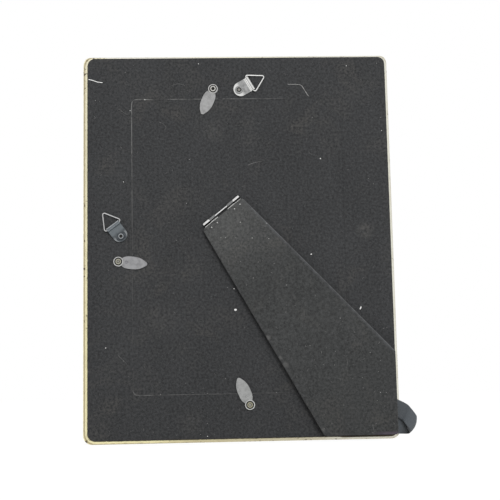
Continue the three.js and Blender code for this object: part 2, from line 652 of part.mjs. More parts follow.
// Lengths of barrel that each leaf's knuckles cover
function knuckleSpans() {
  const half = BARREL_LENGTH / 2;
  const legOuter = half - END_KNUCKLE - RUN_GAP;
  const legInner = legOuter - LEG_KNUCKLE;
  return {
    door: [[-half, -half + END_KNUCKLE], [half - END_KNUCKLE, half]],
    leg: [[-legOuter, -legInner], [legInner, legOuter]],
  };
}

// A rolled knuckle round the axis, from one place along it to another
function knuckle([from, to]) {
  const ring = new THREE.Shape().absarc(0, 0, KNUCKLE_RADIUS, 0, 2 * Math.PI, false);
  ring.holes.push(new THREE.Path().absarc(0, 0, KNUCKLE_BORE, 0, 2 * Math.PI, true));
  return prism(ring, from, to, 8).rotateY(Math.PI / 2);
}

function joined(geometries) {
  return geometries.map(solid).reduce((whole, piece) => whole.add(piece));
}

// Leaf on the door: tangent to the underside of the barrel, prongs driven into the board
function doorLeafGeometry() {
  const { door } = knuckleSpans();
  const half = BARREL_LENGTH / 2;
  const low = -KNUCKLE_RADIUS;
  const high = low + LEAF_THICKNESS;
  const pieces = [prism(rectangle(-half, -LEAF_LENGTH, half, LEAF_UNDER_BOARD), low, high)];
  door.forEach((span) => {
    pieces.push(prism(rectangle(span[0], LEAF_UNDER_BOARD - LEAF_THICKNESS, span[1], 0), low, high));
    pieces.push(knuckle(span));
  });
  const tip = -AXIS_HEIGHT - BOARD_THICKNESS + SHEET_GAP;
  prongSpots().forEach(([u, y]) => {
    pieces.push(rod(PRONG_RADIUS, tip, high - LEAF_THICKNESS / 2, 8).translate(u, y, 0));
  });
  return geometryOf(joined(pieces));
}

// Leaf under the leg: enters the barrel halfway up, prongs clinched through the board
function legLeafGeometry() {
  const { leg } = knuckleSpans();
  const half = BARREL_LENGTH / 2;
  const low = LEG_LEAF_TOP - LEAF_THICKNESS;
  const lobeStart = LEAF_UNDER_BOARD - LEAF_THICKNESS;
  const pieces = [
    prism(rectangle(-half, -LEAF_LENGTH, half, LEAF_UNDER_BOARD), low, LEG_LEAF_TOP),
    prism(rectangle(-half, lobeStart, -half + LOBE_LENGTH, -LEAF_START), low, LEG_LEAF_TOP),
    prism(rectangle(half - LOBE_LENGTH, lobeStart, half, -LEAF_START), low, LEG_LEAF_TOP),
  ];
  leg.forEach((span) => {
    const inWall = KNUCKLE_BORE + LEAF_THICKNESS / 3;
    pieces.push(prism(rectangle(span[0], -LEAF_START - LEAF_THICKNESS, span[1], -inWall), low, LEG_LEAF_TOP));
    pieces.push(knuckle(span));
  });
  const tip = LEG_UNDERSIDE + LEG_THICKNESS + PRONG_PROUD;
  prongSpots().forEach(([u, y]) => {
    pieces.push(rod(PRONG_RADIUS, low + LEAF_THICKNESS / 2, tip, 8).translate(u, y, 0));
  });
  return geometryOf(joined(pieces));
}

// The two sides of the frame that the foot is cut square to
function footSides() {
  return { footX: PANEL_RIGHT - FOOT_INSET_SIDE, footY: -PANEL_HEIGHT / 2 + FOOT_INSET_BOTTOM };
}

// The leg's corners in hinge coordinates: two at the hinge end, three round the foot
function legCorners() {
  const { footX, footY } = footSides();
  const topLeft = fromHinge(LEG_TOP_OFFSET - LEG_TOP_WIDTH / 2, -LEG_TOP_GAP);
  const topRight = fromHinge(LEG_TOP_OFFSET + LEG_TOP_WIDTH / 2, -LEG_TOP_GAP);
  const leftRun = heading(HINGE_ANGLE - 90 - LEG_TAPER_LEFT);
  const rightRun = heading(HINGE_ANGLE - 90 + LEG_TAPER_RIGHT);
  const lowLeft = topLeft.clone().addScaledVector(leftRun, (footY - topLeft.y) / leftRun.y);
  const highRight = topRight.clone().addScaledVector(rightRun, (footX - topRight.x) / rightRun.x);
  const corner = new THREE.Vector2(footX, footY);
  return [topLeft, lowLeft, corner, highRight, topRight].map(toHinge);
}

function legGeometry() {
  const outline = roundedOutline(legCorners(), LEG_CORNER_RADIUS);
  const high = LEG_UNDERSIDE + LEG_THICKNESS;
  const board = solid(softPrism(outline, LEG_UNDERSIDE, high, LEG_EDGE_ROUND));
  const cutters = prongSpots().map(([u, y]) => (
    rod(PRONG_RADIUS + FIT_GAP, LEG_UNDERSIDE - CUT_OVERRUN, high + CUT_OVERRUN, 10).translate(u, y, 0)
  ));
  const staple = stapleSpot('leg');
  const at = toHinge(staple.point);
  stapleHoles(LEG_UNDERSIDE - CUT_OVERRUN, LEG_UNDERSIDE + STAPLE_LEG + FIT_GAP).forEach((hole) => {
    cutters.push(hole.rotateZ(radians(staple.angle - 90 - HINGE_ANGLE)).translate(at.x, at.y, 0));
  });
  return geometryOf(drill(board, cutters));
}

// Height of the leg's underside above the back at a point of the frame
function undersideAt(point) {
  const down = -toHinge(point).y;
  const tilt = radians(LEG_REST_ANGLE);
  return AXIS_HEIGHT + LEG_UNDERSIDE * Math.cos(tilt) + down * Math.sin(tilt);
}

function addEasel(frame) {
  const hinge = groupAt(frame, HINGE_X, HINGE_Y, AXIS_HEIGHT, radians(HINGE_ANGLE));
  place(hinge, 'hinge_leaf_door', doorLeafGeometry(), nickel);
  const pinHalf = BARREL_LENGTH / 2 + PIN_PROUD;
  place(hinge, 'hinge_pin', rod(PIN_RADIUS, -pinHalf, pinHalf, 12).rotateY(Math.PI / 2), nickel);
  const swing = new THREE.Group();
  swing.rotation.x = -radians(LEG_REST_ANGLE);
  hinge.add(swing);
  place(swing, 'hinge_leaf_leg', legLeafGeometry(), nickel);
  place(swing, 'easel_leg', legGeometry(), flock);
  const spot = stapleSpot('leg');
  const at = toHinge(spot.point);
  const crown = LEG_UNDERSIDE - 3 * RUN_GAP - RIBBON_THICKNESS;
  const staple = groupAt(swing, at.x, at.y, crown, radians(spot.angle - 90 - HINGE_ANGLE));
  const legLength = STAPLE_LEG + 3 * RUN_GAP + RIBBON_THICKNESS;
  place(staple, 'ribbon_staple_leg', stapleGeometry(legLength).rotateY(Math.PI), steel);
}

// Side view of the folded ribbon: leg run, lift past the leg's side, loose turn, and panel run on the back.
// Also its length on each side of the turn's outermost point, square to the fold.
function ribbonProfile() {
  const fold = ribbonFold();
  const skew = radians(FOLD_SKEW);
  const lean = Math.cos(skew);
  const low = SEAT_GAP + RIBBON_THICKNESS / 2;
  const top = low + FOLD_HEIGHT;
  const halfRuling = RIBBON_WIDTH / 2 / lean;
  const run = heading(FOLD_ANGLE + 90 - FOLD_SKEW);
  const underLeg = RUN_GAP + RIBBON_THICKNESS / 2;
  const legEnd = fold.centre.clone().addScaledVector(run, LEG_RUN).addScaledVector(fold.along, halfRuling);
  const past = fold.centre.x - footSides().footX - RUN_GAP - fold.along.x * halfRuling;
  const clear = past / (fold.across.x - fold.along.x * Math.tan(skew));
  const legSide = fold.centre.clone().addScaledVector(run, clear / lean).addScaledVector(fold.along, halfRuling);
  const legSideHeight = undersideAt(legSide) - underLeg;
  const pull = (clear - FOLD_DEPTH) / 2;
  const profile = new THREE.Path();
  profile.moveTo(-LEG_RUN * lean, undersideAt(legEnd) - underLeg);
  profile.lineTo(-clear, legSideHeight);
  profile.bezierCurveTo(-clear + pull, legSideHeight, -FOLD_DEPTH - pull, top, -FOLD_DEPTH, top);
  profile.absellipse(
    -FOLD_DEPTH, low + FOLD_HEIGHT / 2, FOLD_DEPTH, FOLD_HEIGHT / 2, Math.PI / 2, -Math.PI / 2, true, 0,
  );
  profile.lineTo(-PANEL_RUN * lean, low);
  const points = profile.getPoints(8);
  const lengths = [0];
  for (let i = 1; i < points.length; i += 1) {
    lengths.push(lengths[i - 1] + points[i].distanceTo(points[i - 1]));
  }
  const outermost = points.reduce((best, point, i) => (point.x > points[best].x ? i : best), 0);
  const legLength = lengths[outermost];
  const panelLength = lengths[points.length - 1] - legLength;
  return { points, lengths, legLength, panelLength, lean, halfRuling };
}

// The strip bent round the slanted fold: every cross-section is a straight line along the fold
function ribbonGeometry() {
  const fold = ribbonFold();
  const { points, lengths, legLength, halfRuling } = ribbonProfile();
  const last = points.length - 1;
  const corners = [];
  points.forEach((point, i) => {
    const ahead = points[Math.min(i + 1, last)].clone().sub(points[Math.max(i - 1, 0)]).normalize();
    const slide = (legLength - lengths[i]) * Math.tan(radians(FOLD_SKEW));
    [[1, 1], [-1, 1], [-1, -1], [1, -1]].forEach(([end, face]) => {
      const lift = face * RIBBON_THICKNESS / 2;
      const across = point.x - ahead.y * lift;
      const high = point.y + ahead.x * lift;
      const flat = fold.centre.clone()
        .addScaledVector(fold.along, slide + end * halfRuling)
        .addScaledVector(fold.across, across);
      corners.push(flat.x, flat.y, high);
    });
  });
  const faces = [0, 2, 1, 0, 3, 2];
  for (let i = 0; i < last; i += 1) {
    for (let k = 0; k < 4; k += 1) {
      const a = 4 * i + k;
      const b = 4 * i + (k + 1) % 4;
      faces.push(a, b, a + 4, b, b + 4, a + 4);
    }
  }
  const end = 4 * last;
  faces.push(end, end + 1, end + 2, end, end + 2, end + 3);
  const geometry = new THREE.BufferGeometry();
  geometry.setAttribute('position', new THREE.Float32BufferAttribute(corners, 3));
  geometry.setIndex(faces);
  geometry.computeVertexNormals();
  return geometry;
}

function addRibbon(frame) {
  place(frame, 'stay_ribbon', ribbonGeometry(), satin);
  const spot = stapleSpot('panel');
  const crown = SEAT_GAP + RIBBON_THICKNESS + FIT_GAP;
  const staple = groupAt(frame, spot.point.x, spot.point.y, crown, radians(spot.angle - 90));
  place(staple, 'ribbon_staple_panel', stapleGeometry(STAPLE_LEG + crown), steel);
}

const frame = new THREE.Group();
frame.rotation.x = Math.PI / 2;
frame.position.set(0, -MOULDING_DEPTH / 2 - BOARD_THICKNESS, OUTER_HEIGHT / 2);
addMoulding(frame);
addSheets(frame);
addPanel(frame);
addDoor(frame);
addButtons(frame);
addHangers(frame);
addEasel(frame);
addRibbon(frame);

const pictureFrame = new THREE.Group();
pictureFrame.add(frame);

export default pictureFrame;
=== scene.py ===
"""Looks of the easel-backed picture frame: flocked back, worn gilding, plated hardware and ribbon stay."""

import math

import bmesh
import bpy
import numpy as np
from mathutils import Matrix, Vector


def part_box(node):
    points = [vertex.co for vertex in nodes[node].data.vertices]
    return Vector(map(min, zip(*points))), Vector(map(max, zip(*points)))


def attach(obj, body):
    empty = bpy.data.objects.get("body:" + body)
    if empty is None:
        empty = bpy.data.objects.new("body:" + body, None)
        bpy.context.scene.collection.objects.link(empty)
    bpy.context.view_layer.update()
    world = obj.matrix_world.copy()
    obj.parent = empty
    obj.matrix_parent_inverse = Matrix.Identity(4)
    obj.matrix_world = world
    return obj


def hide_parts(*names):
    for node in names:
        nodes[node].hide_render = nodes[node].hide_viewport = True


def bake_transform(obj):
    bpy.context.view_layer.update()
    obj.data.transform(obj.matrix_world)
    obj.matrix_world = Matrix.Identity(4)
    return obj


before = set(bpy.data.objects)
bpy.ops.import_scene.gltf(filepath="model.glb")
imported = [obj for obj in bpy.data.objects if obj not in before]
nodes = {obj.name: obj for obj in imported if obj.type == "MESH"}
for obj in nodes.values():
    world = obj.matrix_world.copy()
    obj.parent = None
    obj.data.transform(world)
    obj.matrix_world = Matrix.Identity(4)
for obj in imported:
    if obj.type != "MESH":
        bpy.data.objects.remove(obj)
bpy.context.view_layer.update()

# Sizes in metres, taken from the solids
MM = 0.001
OUT_OF_BACK = (0, -1, 0)
ALONG_BACK = (1, 0, 1)  # times a place, leaves what lies along the back
panel_low, panel_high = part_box("back_panel")
door_low, door_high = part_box("back_door")
leg_low, leg_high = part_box("easel_leg")
BACK_Y = panel_low.y  # the flocked face of the back
MIDDLE_Z = (door_low.z + door_high.z) / 2
DOOR_HALF_WIDTH = (door_high.x - door_low.x) / 2
DOOR_HALF_HEIGHT = (door_high.z - door_low.z) / 2
DOOR_CORNER_RADIUS = 3 * MM
DOOR_GAP = 0.15 * MM
PANEL_CORNER_RADIUS = 4.5 * MM
MOULDING_BACK_Y, FRONT_Y = (corner.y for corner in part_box("top_rail"))

# The camera, fitted to the corners of the back panel and of the door
IMAGE_SIZE = 500
FOCAL_PIXELS = 1060
SENSOR_WIDTH = 36
CAMERA_PLACE = Vector((-19.55, -647.43, 30.16)) * MM
CAMERA_RIGHT = Vector((0.99907614, -0.03822517, -0.0196395))
CAMERA_DOWN = Vector((-0.01443238, 0.1320201, -0.99114197))
CAMERA_FORWARD = Vector((0.04047938, 0.99050973, 0.13134645))
NEAREST_SEEN = 0.01
FARTHEST_SEEN = 100


def linked(name, data):
    """A new object in the scene, with a mesh, a camera or a lamp."""
    made = bpy.data.objects.new(name, data)
    bpy.context.scene.collection.objects.link(made)
    return made


def make_camera():
    data = bpy.data.cameras.new("photo_camera")
    data.sensor_width = SENSOR_WIDTH
    data.lens = FOCAL_PIXELS / IMAGE_SIZE * SENSOR_WIDTH
    data.clip_start = NEAREST_SEEN
    data.clip_end = FARTHEST_SEEN
    camera = linked("photo_camera", data)
    turn = Matrix((CAMERA_RIGHT, -CAMERA_DOWN, -CAMERA_FORWARD)).transposed()
    camera.matrix_world = Matrix.Translation(CAMERA_PLACE) @ turn.to_4x4()
    bpy.context.scene.camera = camera


# Small helpers for node trees
NUMBER = "NodeSocketFloat"
COUNT = "NodeSocketInt"
VECTOR = "NodeSocketVector"
COLOUR = "NodeSocketColor"
FINISH = "NodeSocketMaterial"
SHAPE = "NodeSocketGeometry"


class Wiring:
    """Adds nodes to a tree; an input given as another node's output is linked, any other value is set."""

    def __init__(self, tree):
        self.tree = tree

    def add(self, kind, inputs=None, **settings):
        node = self.tree.nodes.new(kind)
        for name, value in settings.items():
            setattr(node, name, value)
        for socket, value in (inputs or {}).items():
            self.feed(node.inputs[socket], value)
        return node

    def made(self, kind, inputs=None, **settings):
        """The first output of a new node."""
        return self.add(kind, inputs, **settings).outputs[0]

    def feed(self, socket, value):
        if isinstance(value, bpy.types.NodeSocket):
            self.tree.links.new(value, socket)
        elif socket.type == "RGBA":
            socket.default_value = (*value, 1)
        else:
            socket.default_value = value

    def math(self, operation, first, *others):
        for other in others or (0.0,):
            first = self.made("ShaderNodeMath", {0: first, 1: other}, operation=operation)
        return first

    def product(self, *values):
        return self.math("MULTIPLY", *values)

    def total(self, *values):
        return self.math("ADD", *values)

    def largest(self, *values):
        return self.math("MAXIMUM", *values)

    def less(self, first, second):
        return self.math("SUBTRACT", first, second)

    def inverse(self, value):
        return self.less(1.0, value)

    def plus(self, base, value, share):
        """A base plus a share of a value."""
        return self.total(base, self.product(value, share))

    def ramp(self, value, low, high):
        """0 below low, 1 above high, and smooth in between."""
        sockets = {"Value": value, "From Min": low, "From Max": high}
        return self.made("ShaderNodeMapRange", sockets, interpolation_type="SMOOTHSTEP")

    def fade(self, value, low, high):
        """1 below low, 0 above high, and smooth in between."""
        return self.inverse(self.ramp(value, low, high))

    def between(self, value, rise, full, fall, gone):
        """0 outside rise and gone, 1 from full to fall, and smooth in between."""
        return self.product(self.ramp(value, rise, full), self.fade(value, fall, gone))

    def mix(self, share, first, second, blend="MIX"):
        node = self.add("ShaderNodeMix", data_type="RGBA", blend_type=blend)
        for index, value in ((0, share), (6, first), (7, second)):
            self.feed(node.inputs[index], value)
        return node.outputs[2]

    def noise(self, place, size, detail=2.0, roughness=0.5, distortion=0.0):
        """Noise whose features are about size metres across."""
        sockets = {"Scale": 1 / size, "Detail": detail, "Roughness": roughness, "Distortion": distortion}
        return self.add("ShaderNodeTexNoise", {"Vector": place, **sockets}).outputs["Fac"]

    def stretched(self, place, scale, turn=(0, 0, 0)):
        return self.made("ShaderNodeMapping", {"Vector": place, "Rotation": turn, "Scale": scale})

    def vector(self, operation, first, second=(0, 0, 0)):
        node = self.add("ShaderNodeVectorMath", {0: first, 1: second}, operation=operation)
        return node.outputs["Value" if operation in ("LENGTH", "DOT_PRODUCT") else "Vector"]

    def reach(self, place, start, direction):
        """How far a place lies from a start, measured in a direction."""
        return self.vector("DOT_PRODUCT", self.vector("SUBTRACT", place, start), direction)

    def parts(self, vector):
        return self.add("ShaderNodeSeparateXYZ", {0: vector}).outputs

    def place_of(self, kind):
        return self.add("ShaderNodeTexCoord").outputs[kind]

    def object_place(self):
        return self.place_of("Object")


def node_tree(name, kind, inputs, outputs):
    tree = bpy.data.node_groups.new(name, kind)
    for way, sockets in (("INPUT", inputs), ("OUTPUT", outputs)):
        for label, socket_kind in sockets.items():
            tree.interface.new_socket(name=label, in_out=way, socket_type=socket_kind)
    w = Wiring(tree)
    return tree, w, w.add("NodeGroupInput").outputs, w.add("NodeGroupOutput").inputs


def shader_group(name, inputs, outputs):
    return node_tree(name, "ShaderNodeTree", inputs, outputs)


def shape_tree(name, inputs):
    return node_tree(name, "GeometryNodeTree", {"Geometry": SHAPE, **inputs}, {"Geometry": SHAPE})


# Shader groups
def facing_group():
    """How squarely the surface faces out of the back: 1 on the flat back, 0 on a side, -1 on the front."""
    tree, w, given, put = shader_group("facing", {}, {"Back": NUMBER})
    w.feed(put["Back"], w.vector("DOT_PRODUCT", w.place_of("Normal"), OUT_OF_BACK))
    return tree


def about_axis_group():
    """Masks round an axis that is square to the back."""
    tree, w, given, put = shader_group(
        "about_axis",
        {"Middle": VECTOR, "Inner": NUMBER, "Outer": NUMBER, "Softness": NUMBER},
        {"Inside": NUMBER, "Ring": NUMBER},
    )
    offset = w.vector("SUBTRACT", w.object_place(), given["Middle"])
    distance = w.vector("LENGTH", w.vector("MULTIPLY", offset, ALONG_BACK))
    past_inner = w.ramp(distance, given["Inner"], w.total(given["Inner"], given["Softness"]))
    past_outer = w.ramp(distance, given["Outer"], w.total(given["Outer"], given["Softness"]))
    w.feed(put["Inside"], w.inverse(past_inner))
    w.feed(put["Ring"], w.less(past_inner, past_outer))
    return tree


def rounded_outline_group():
    """Distance outwards from a rounded rectangle that is square to the back, less than 0 inside it."""
    tree, w, given, put = shader_group(
        "rounded_outline",
        {"Middle": VECTOR, "Half": VECTOR, "Radius": NUMBER},
        {"Distance": NUMBER},
    )
    offset = w.vector("ABSOLUTE", w.vector("SUBTRACT", w.object_place(), given["Middle"]))
    rounding = w.made("ShaderNodeCombineXYZ", {0: given["Radius"], 2: given["Radius"]})
    beyond = w.vector("ADD", w.vector("SUBTRACT", offset, given["Half"]), rounding)
    flat = w.vector("MULTIPLY", beyond, ALONG_BACK)
    corner = w.vector("LENGTH", w.vector("MAXIMUM", flat, (0, 0, 0)))
    sides = w.parts(flat)
    inside = w.math("MINIMUM", w.largest(sides["X"], sides["Z"]), 0.0)
    w.feed(put["Distance"], w.less(w.total(corner, inside), given["Radius"]))
    return tree


def flock_nap_group():
    """Short velvety pile: fine grain, brushed patches, dusty smudges and pale specks."""
    tree, w, given, put = shader_group(
        "flock_nap",
        {"Grain": NUMBER, "Brushing": NUMBER, "Dust": NUMBER, "Specks": NUMBER},
        {"Shade": NUMBER, "Dust": NUMBER, "Specks": NUMBER, "Height": NUMBER},
    )
    place = w.object_place()
    fine = w.noise(place, 0.6 * MM, 2.0, 0.6)
    coarse = w.noise(place, 1.5 * MM, 3.0, 0.6)
    grain = w.less(w.total(w.product(fine, 0.4), w.product(coarse, 0.6)), 0.5)
    brushed_and_edge_light = w.noise(w.stretched(place, (1, 1, 0.45), (0, 0.5, 0)), 24 * MM, 4.0, 0.6, 0.6)
    grain_shade = w.product(grain, given["Grain"])
    brushed_shade = w.product(w.less(brushed_and_edge_light, 0.5), given["Brushing"])
    w.feed(put["Shade"], w.total(grain_shade, brushed_shade, 1.0))
    smudges = w.ramp(w.noise(place, 34 * MM, 4.0, 0.65, 0.8), 0.5, 0.72)
    w.feed(put["Dust"], w.product(smudges, w.ramp(coarse, 0.35, 0.65), given["Dust"]))
    cells = w.add("ShaderNodeTexVoronoi", {"Vector": place, "Scale": 1 / (5.5 * MM)})
    near = w.fade(cells.outputs["Distance"], 0.03, 0.075)
    chance = w.made("ShaderNodeSeparateColor", {"Color": cells.outputs["Color"]})
    chosen = w.ramp(chance, 0.6, 1.0)
    w.feed(put["Specks"], w.product(near, chosen, given["Specks"]))
    w.feed(put["Height"], grain)
    return tree


def worn_leaf_group():
    """Gold leaf over brown ground: tone patches, rubbed-through marks and fine wrinkles."""
    tree, w, given, put = shader_group(
        "worn_leaf",
        {"Pale": COLOUR, "Deep": COLOUR, "Ground": COLOUR,
         "Depth": NUMBER, "Mottling": NUMBER, "Wear": NUMBER},
        {"Colour": COLOUR, "Bare": NUMBER, "Height": NUMBER},
    )
    place = w.object_place()
    patches = w.ramp(w.noise(place, 7 * MM, 5.0, 0.65), 0.42, 0.75)
    mottled = w.product(patches, given["Mottling"], w.inverse(given["Depth"]))
    tone = w.mix(w.total(mottled, given["Depth"]), given["Pale"], given["Deep"])
    marks = w.noise(place, 1.9 * MM, 4.0, 0.65, 0.4)
    spread = w.noise(place, 14 * MM, 2.0)
    edge = w.less(0.76, w.product(given["Wear"], w.product(spread, 0.42)))
    bare = w.ramp(marks, edge, w.total(edge, 0.05))
    w.feed(put["Colour"], w.mix(bare, tone, given["Ground"]))
    w.feed(put["Bare"], bare)
    wrinkles = w.noise(place, 1.1 * MM, 4.0, 0.6)
    w.feed(put["Height"], w.less(wrinkles, w.product(bare, 0.8)))
    return tree


def handled_metal_group():
    """Plated sheet: cloudy tarnish, pits and hairline scratches."""
    tree, w, given, put = shader_group(
        "handled_metal",
        {"Bright": COLOUR, "Dull": COLOUR, "Tarnish": NUMBER, "Polish": NUMBER},
        {"Colour": COLOUR, "Roughness": NUMBER, "Height": NUMBER},
    )
    place = w.object_place()
    clouds = w.ramp(w.noise(place, 2.5 * MM, 4.0, 0.6), 0.38, 0.7)
    pits = w.ramp(w.noise(place, 0.45 * MM, 2.0), 0.62, 0.72)
    share = w.product(w.largest(clouds, pits), given["Tarnish"])
    scratches = w.noise(w.stretched(place, (1, 1, 18), (0, 0.6, 0)), 1.6 * MM, 3.0, 0.7)
    w.feed(put["Colour"], w.mix(share, given["Bright"], given["Dull"]))
    w.feed(put["Roughness"], w.plus(given["Polish"], share, 0.25))
    w.feed(put["Height"], w.less(scratches, pits))
    return tree


facing = facing_group()
about_axis = about_axis_group()
rounded_outline = rounded_outline_group()
flock_nap = flock_nap_group()
worn_leaf = worn_leaf_group()
handled_metal = handled_metal_group()


# Materials
def cleared(owner):
    """Wiring for the emptied nodes of a material or of the surroundings."""
    owner.use_nodes = True
    owner.node_tree.nodes.clear()
    return Wiring(owner.node_tree)


def new_material(name):
    material = bpy.data.materials.new(name)
    w = cleared(material)
    shader = w.add("ShaderNodeBsdfPrincipled")
    w.add("ShaderNodeOutputMaterial", {"Surface": shader.outputs[0]})
    return material, w, shader.inputs


def placed_group(w, tree, values):
    group = w.add("ShaderNodeGroup", node_tree=tree)
    for label, value in values.items():
        w.feed(group.inputs[label], value)
    return group.outputs


def spot(w, middle, inner, softness):
    """1 near an axis that is square to the back, fading to 0 over the softness."""
    return placed_group(w, about_axis, {"Middle": middle, "Inner": inner, "Softness": softness})["Inside"]


def facing_out(w, low, high):
    """0 on surfaces that turn away and 1 on those that face squarely out of the back."""
    return w.ramp(placed_group(w, facing, {})["Back"], low, high)


def darker(colour, share):
    return tuple(share * channel for channel in colour)


def bumped(w, sockets, height, depth, strength):
    sockets_in = {"Height": height, "Distance": depth, "Strength": strength}
    w.feed(sockets["Normal"], w.made("ShaderNodeBump", sockets_in))


BACK_PILE = (0.048, 0.049, 0.0505)
LEG_PILE = (0.054, 0.0555, 0.0555)
DUST = (0.105, 0.098, 0.088)
SPECK = (0.32, 0.32, 0.31)
HINGE_END_TINT = (1.75, 1.73, 1.70)
WORN_AND_LIT_PILE = (0.20, 0.197, 0.19)
EDGE_HIGHLIGHT_PILE = (0.125, 0.13, 0.14)
FOOT_STAIN = (0.105, 0.083, 0.112)
SMUDGE = (0.14, 0.135, 0.125)
CRUSHED_PILE = (0.22, 0.22, 0.215)


def flock_base(name, colour, grain, brushing, dust, specks):
    """Flock with its colour socket left open, so that a board can add its own marks."""
    material, w, sockets = new_material(name)
    nap = placed_group(w, flock_nap, {
        "Grain": grain, "Brushing": brushing, "Dust": dust, "Specks": specks,
    })
    shade = w.made("ShaderNodeCombineColor", {channel: nap["Shade"] for channel in range(3)})
    pile = w.mix(1.0, colour, shade, "MULTIPLY")
    dusty = w.mix(nap["Dust"], pile, DUST)
    specked = w.mix(nap["Specks"], dusty, SPECK)
    sockets["Roughness"].default_value = 0.95
    sockets["Specular IOR Level"].default_value = 0.12
    sockets["Sheen Weight"].default_value = 0.03
    sockets["Sheen Roughness"].default_value = 0.5
    bumped(w, sockets, nap["Height"], 0.5 * MM, 0.5)
    return material, w, sockets, specked


HINGE_MIDDLE = Vector((-10.7, -13.5, 138.4)) * MM
HINGE_DOWN = Vector((0.6252, 0, -0.7804))  # away from the barrel, down the leg
ALONG_BARREL = Vector((HINGE_DOWN.z, 0, -HINGE_DOWN.x))
SLANTED_EDGE = Vector((91.1, 0, 52.45)) * MM  # a place on the leg's right-hand edge
ACROSS_SLANTED_EDGE = Vector((0.7248, 0, 0.689))
LEG_RUBS = (  # across and up the back, size, share of worn pile
    (16.0, 61.0, 1.7, 0.34), (23.0, 49.0, 1.3, 0.3), (26.0, 44.8, 2.0, 0.26), (47.2, 6.6, 1.2, 0.3),
)


def leg_flock():
    """The leg's flock: paler towards the hinge, rubbed in spots, worn at its edges with painted light on
    those that face up and right, a painted highlight along its right-hand edge, and stained at the foot.
    """
    material, w, sockets, pile = flock_base(
        "leg_flock", LEG_PILE, grain=2.6, brushing=0.35, dust=0.3, specks=0.5,
    )
    # paler towards the hinge end
    near_hinge = spot(w, HINGE_MIDDLE, 4 * MM, 52 * MM)
    paler = w.mix(w.product(near_hinge, 0.7), pile, w.mix(1.0, pile, HINGE_END_TINT, "MULTIPLY"))
    place = w.object_place()
    normal = w.parts(w.place_of("Normal"))
    # turned edges get worn pile, and more on the edges that face up and right, which is painted light
    turned = w.inverse(facing_out(w, 0.9, 0.99))
    facing_light = w.product(w.ramp(normal["X"], -0.25, 0.2), w.ramp(normal["Z"], 0.05, 0.3))
    patchy = w.ramp(w.noise(place, 6 * MM, 4.0, 0.65), 0.35, 0.65)
    worn = w.product(w.plus(0.15, facing_light, 0.4), w.plus(0.3, patchy, 0.7))
    rubbed = w.mix(w.product(turned, worn), paler, WORN_AND_LIT_PILE)
    # a painted highlight along the leg's right-hand edge
    past_edge = w.reach(place, SLANTED_EDGE, ACROSS_SLANTED_EDGE)
    brushed_and_edge_light = w.product(w.ramp(past_edge, -2.2 * MM, -0.2 * MM), w.plus(0.2, patchy, 0.3))
    rubbed = w.mix(brushed_and_edge_light, rubbed, EDGE_HIGHLIGHT_PILE)
    for x, z, size, share in LEG_RUBS:
        rub = spot(w, (x * MM, 0, z * MM), 0.3 * size * MM, size * MM)
        rubbed = w.mix(w.product(rub, share), rubbed, WORN_AND_LIT_PILE)
    where = w.parts(place)
    at_foot = w.fade(where["Z"], leg_low.z + 0.8 * MM, leg_low.z + 2.4 * MM)
    stained = w.product(at_foot, w.ramp(where["X"], leg_high.x - 18 * MM, leg_high.x - 6 * MM), 0.6)
    w.feed(sockets["Base Color"], w.mix(stained, rubbed, FOOT_STAIN))
    return material


CUT_LINE_HALF_WIDTH = 0.16 * MM
CUT_LINE_FADE = 0.42 * MM
SMUDGES = (  # across and up the back, size, share of dust
    (-13.6, 188.4, 8, 0.22), (76.8, 125.7, 6, 0.4), (-48.3, 73.0, 12, 0.2), (-30.5, 11.2, 9, 0.2),
    (-65.4, 99, 8, 0.1),
)


def back_flock():
    """Flock of the panel and the door, with smudges and crushed pale pile along the cut between them."""
    material, w, sockets, pile = flock_base(
        "black_flock", BACK_PILE, grain=2.9, brushing=0.4, dust=0.35, specks=0.25,
    )
    place = w.object_place()
    cut = placed_group(w, rounded_outline, {
        "Middle": (0, 0, MIDDLE_Z),
        "Half": (DOOR_HALF_WIDTH + DOOR_GAP / 2, 0, DOOR_HALF_HEIGHT + DOOR_GAP / 2),
        "Radius": DOOR_CORNER_RADIUS,
    })["Distance"]
    line = w.fade(w.math("ABSOLUTE", cut), CUT_LINE_HALF_WIDTH, CUT_LINE_FADE)
    along = w.parts(w.vector("SUBTRACT", place, (0, 0, MIDDLE_Z)))
    at_corner = w.fade(along["X"], -DOOR_HALF_WIDTH, -0.4 * DOOR_HALF_WIDTH)
    leftward = w.product(
        w.plus(0.6, at_corner, 0.4),
        w.fade(along["X"], 0.05 * DOOR_HALF_WIDTH, 0.7 * DOOR_HALF_WIDTH),
    )
    upper = w.ramp(along["Z"], -0.2 * DOOR_HALF_HEIGHT, DOOR_HALF_HEIGHT)
    lower = w.fade(along["Z"], -DOOR_HALF_HEIGHT, -0.95 * DOOR_HALF_HEIGHT)
    height = w.plus(w.plus(0.15, upper, 0.85), lower, 0.45)
    patchy = w.ramp(w.noise(place, 5 * MM, 3.0, 0.6), 0.3, 0.6)
    crushed = w.product(line, leftward, height, patchy, 0.75)
    mottled = w.ramp(w.noise(place, 3 * MM, 4.0, 0.65), 0.3, 0.7)
    for x, z, size, dust in SMUDGES:
        smudge = spot(w, (x * MM, 0, z * MM), 0.2 * size * MM, size * MM)
        pile = w.mix(w.product(smudge, mottled, dust), pile, SMUDGE)
    w.feed(sockets["Base Color"], w.mix(crushed, pile, CRUSHED_PILE))
    return material


GILT_YELLOW = (1.0, 0.93, 0.58)
GILT_CREAM = (0.78, 0.765, 0.67)
GILT_WHITE = (1.0, 0.97, 0.86)
GILT_SIDE = (0.66, 0.485, 0.20)
GILT_HOLLOW = (0.33, 0.205, 0.07)
GILT_DEEP = (0.42, 0.35, 0.20)
GILT_GROUND = (0.10, 0.07, 0.04)
BARE_WOOD_AND_SHADE = (0.085, 0.062, 0.032)
CORNER_CHIP = Vector((-92.6, 0, 1.8)) * MM
WORN_CORNER = Vector((-93.5, 0, 232)) * MM


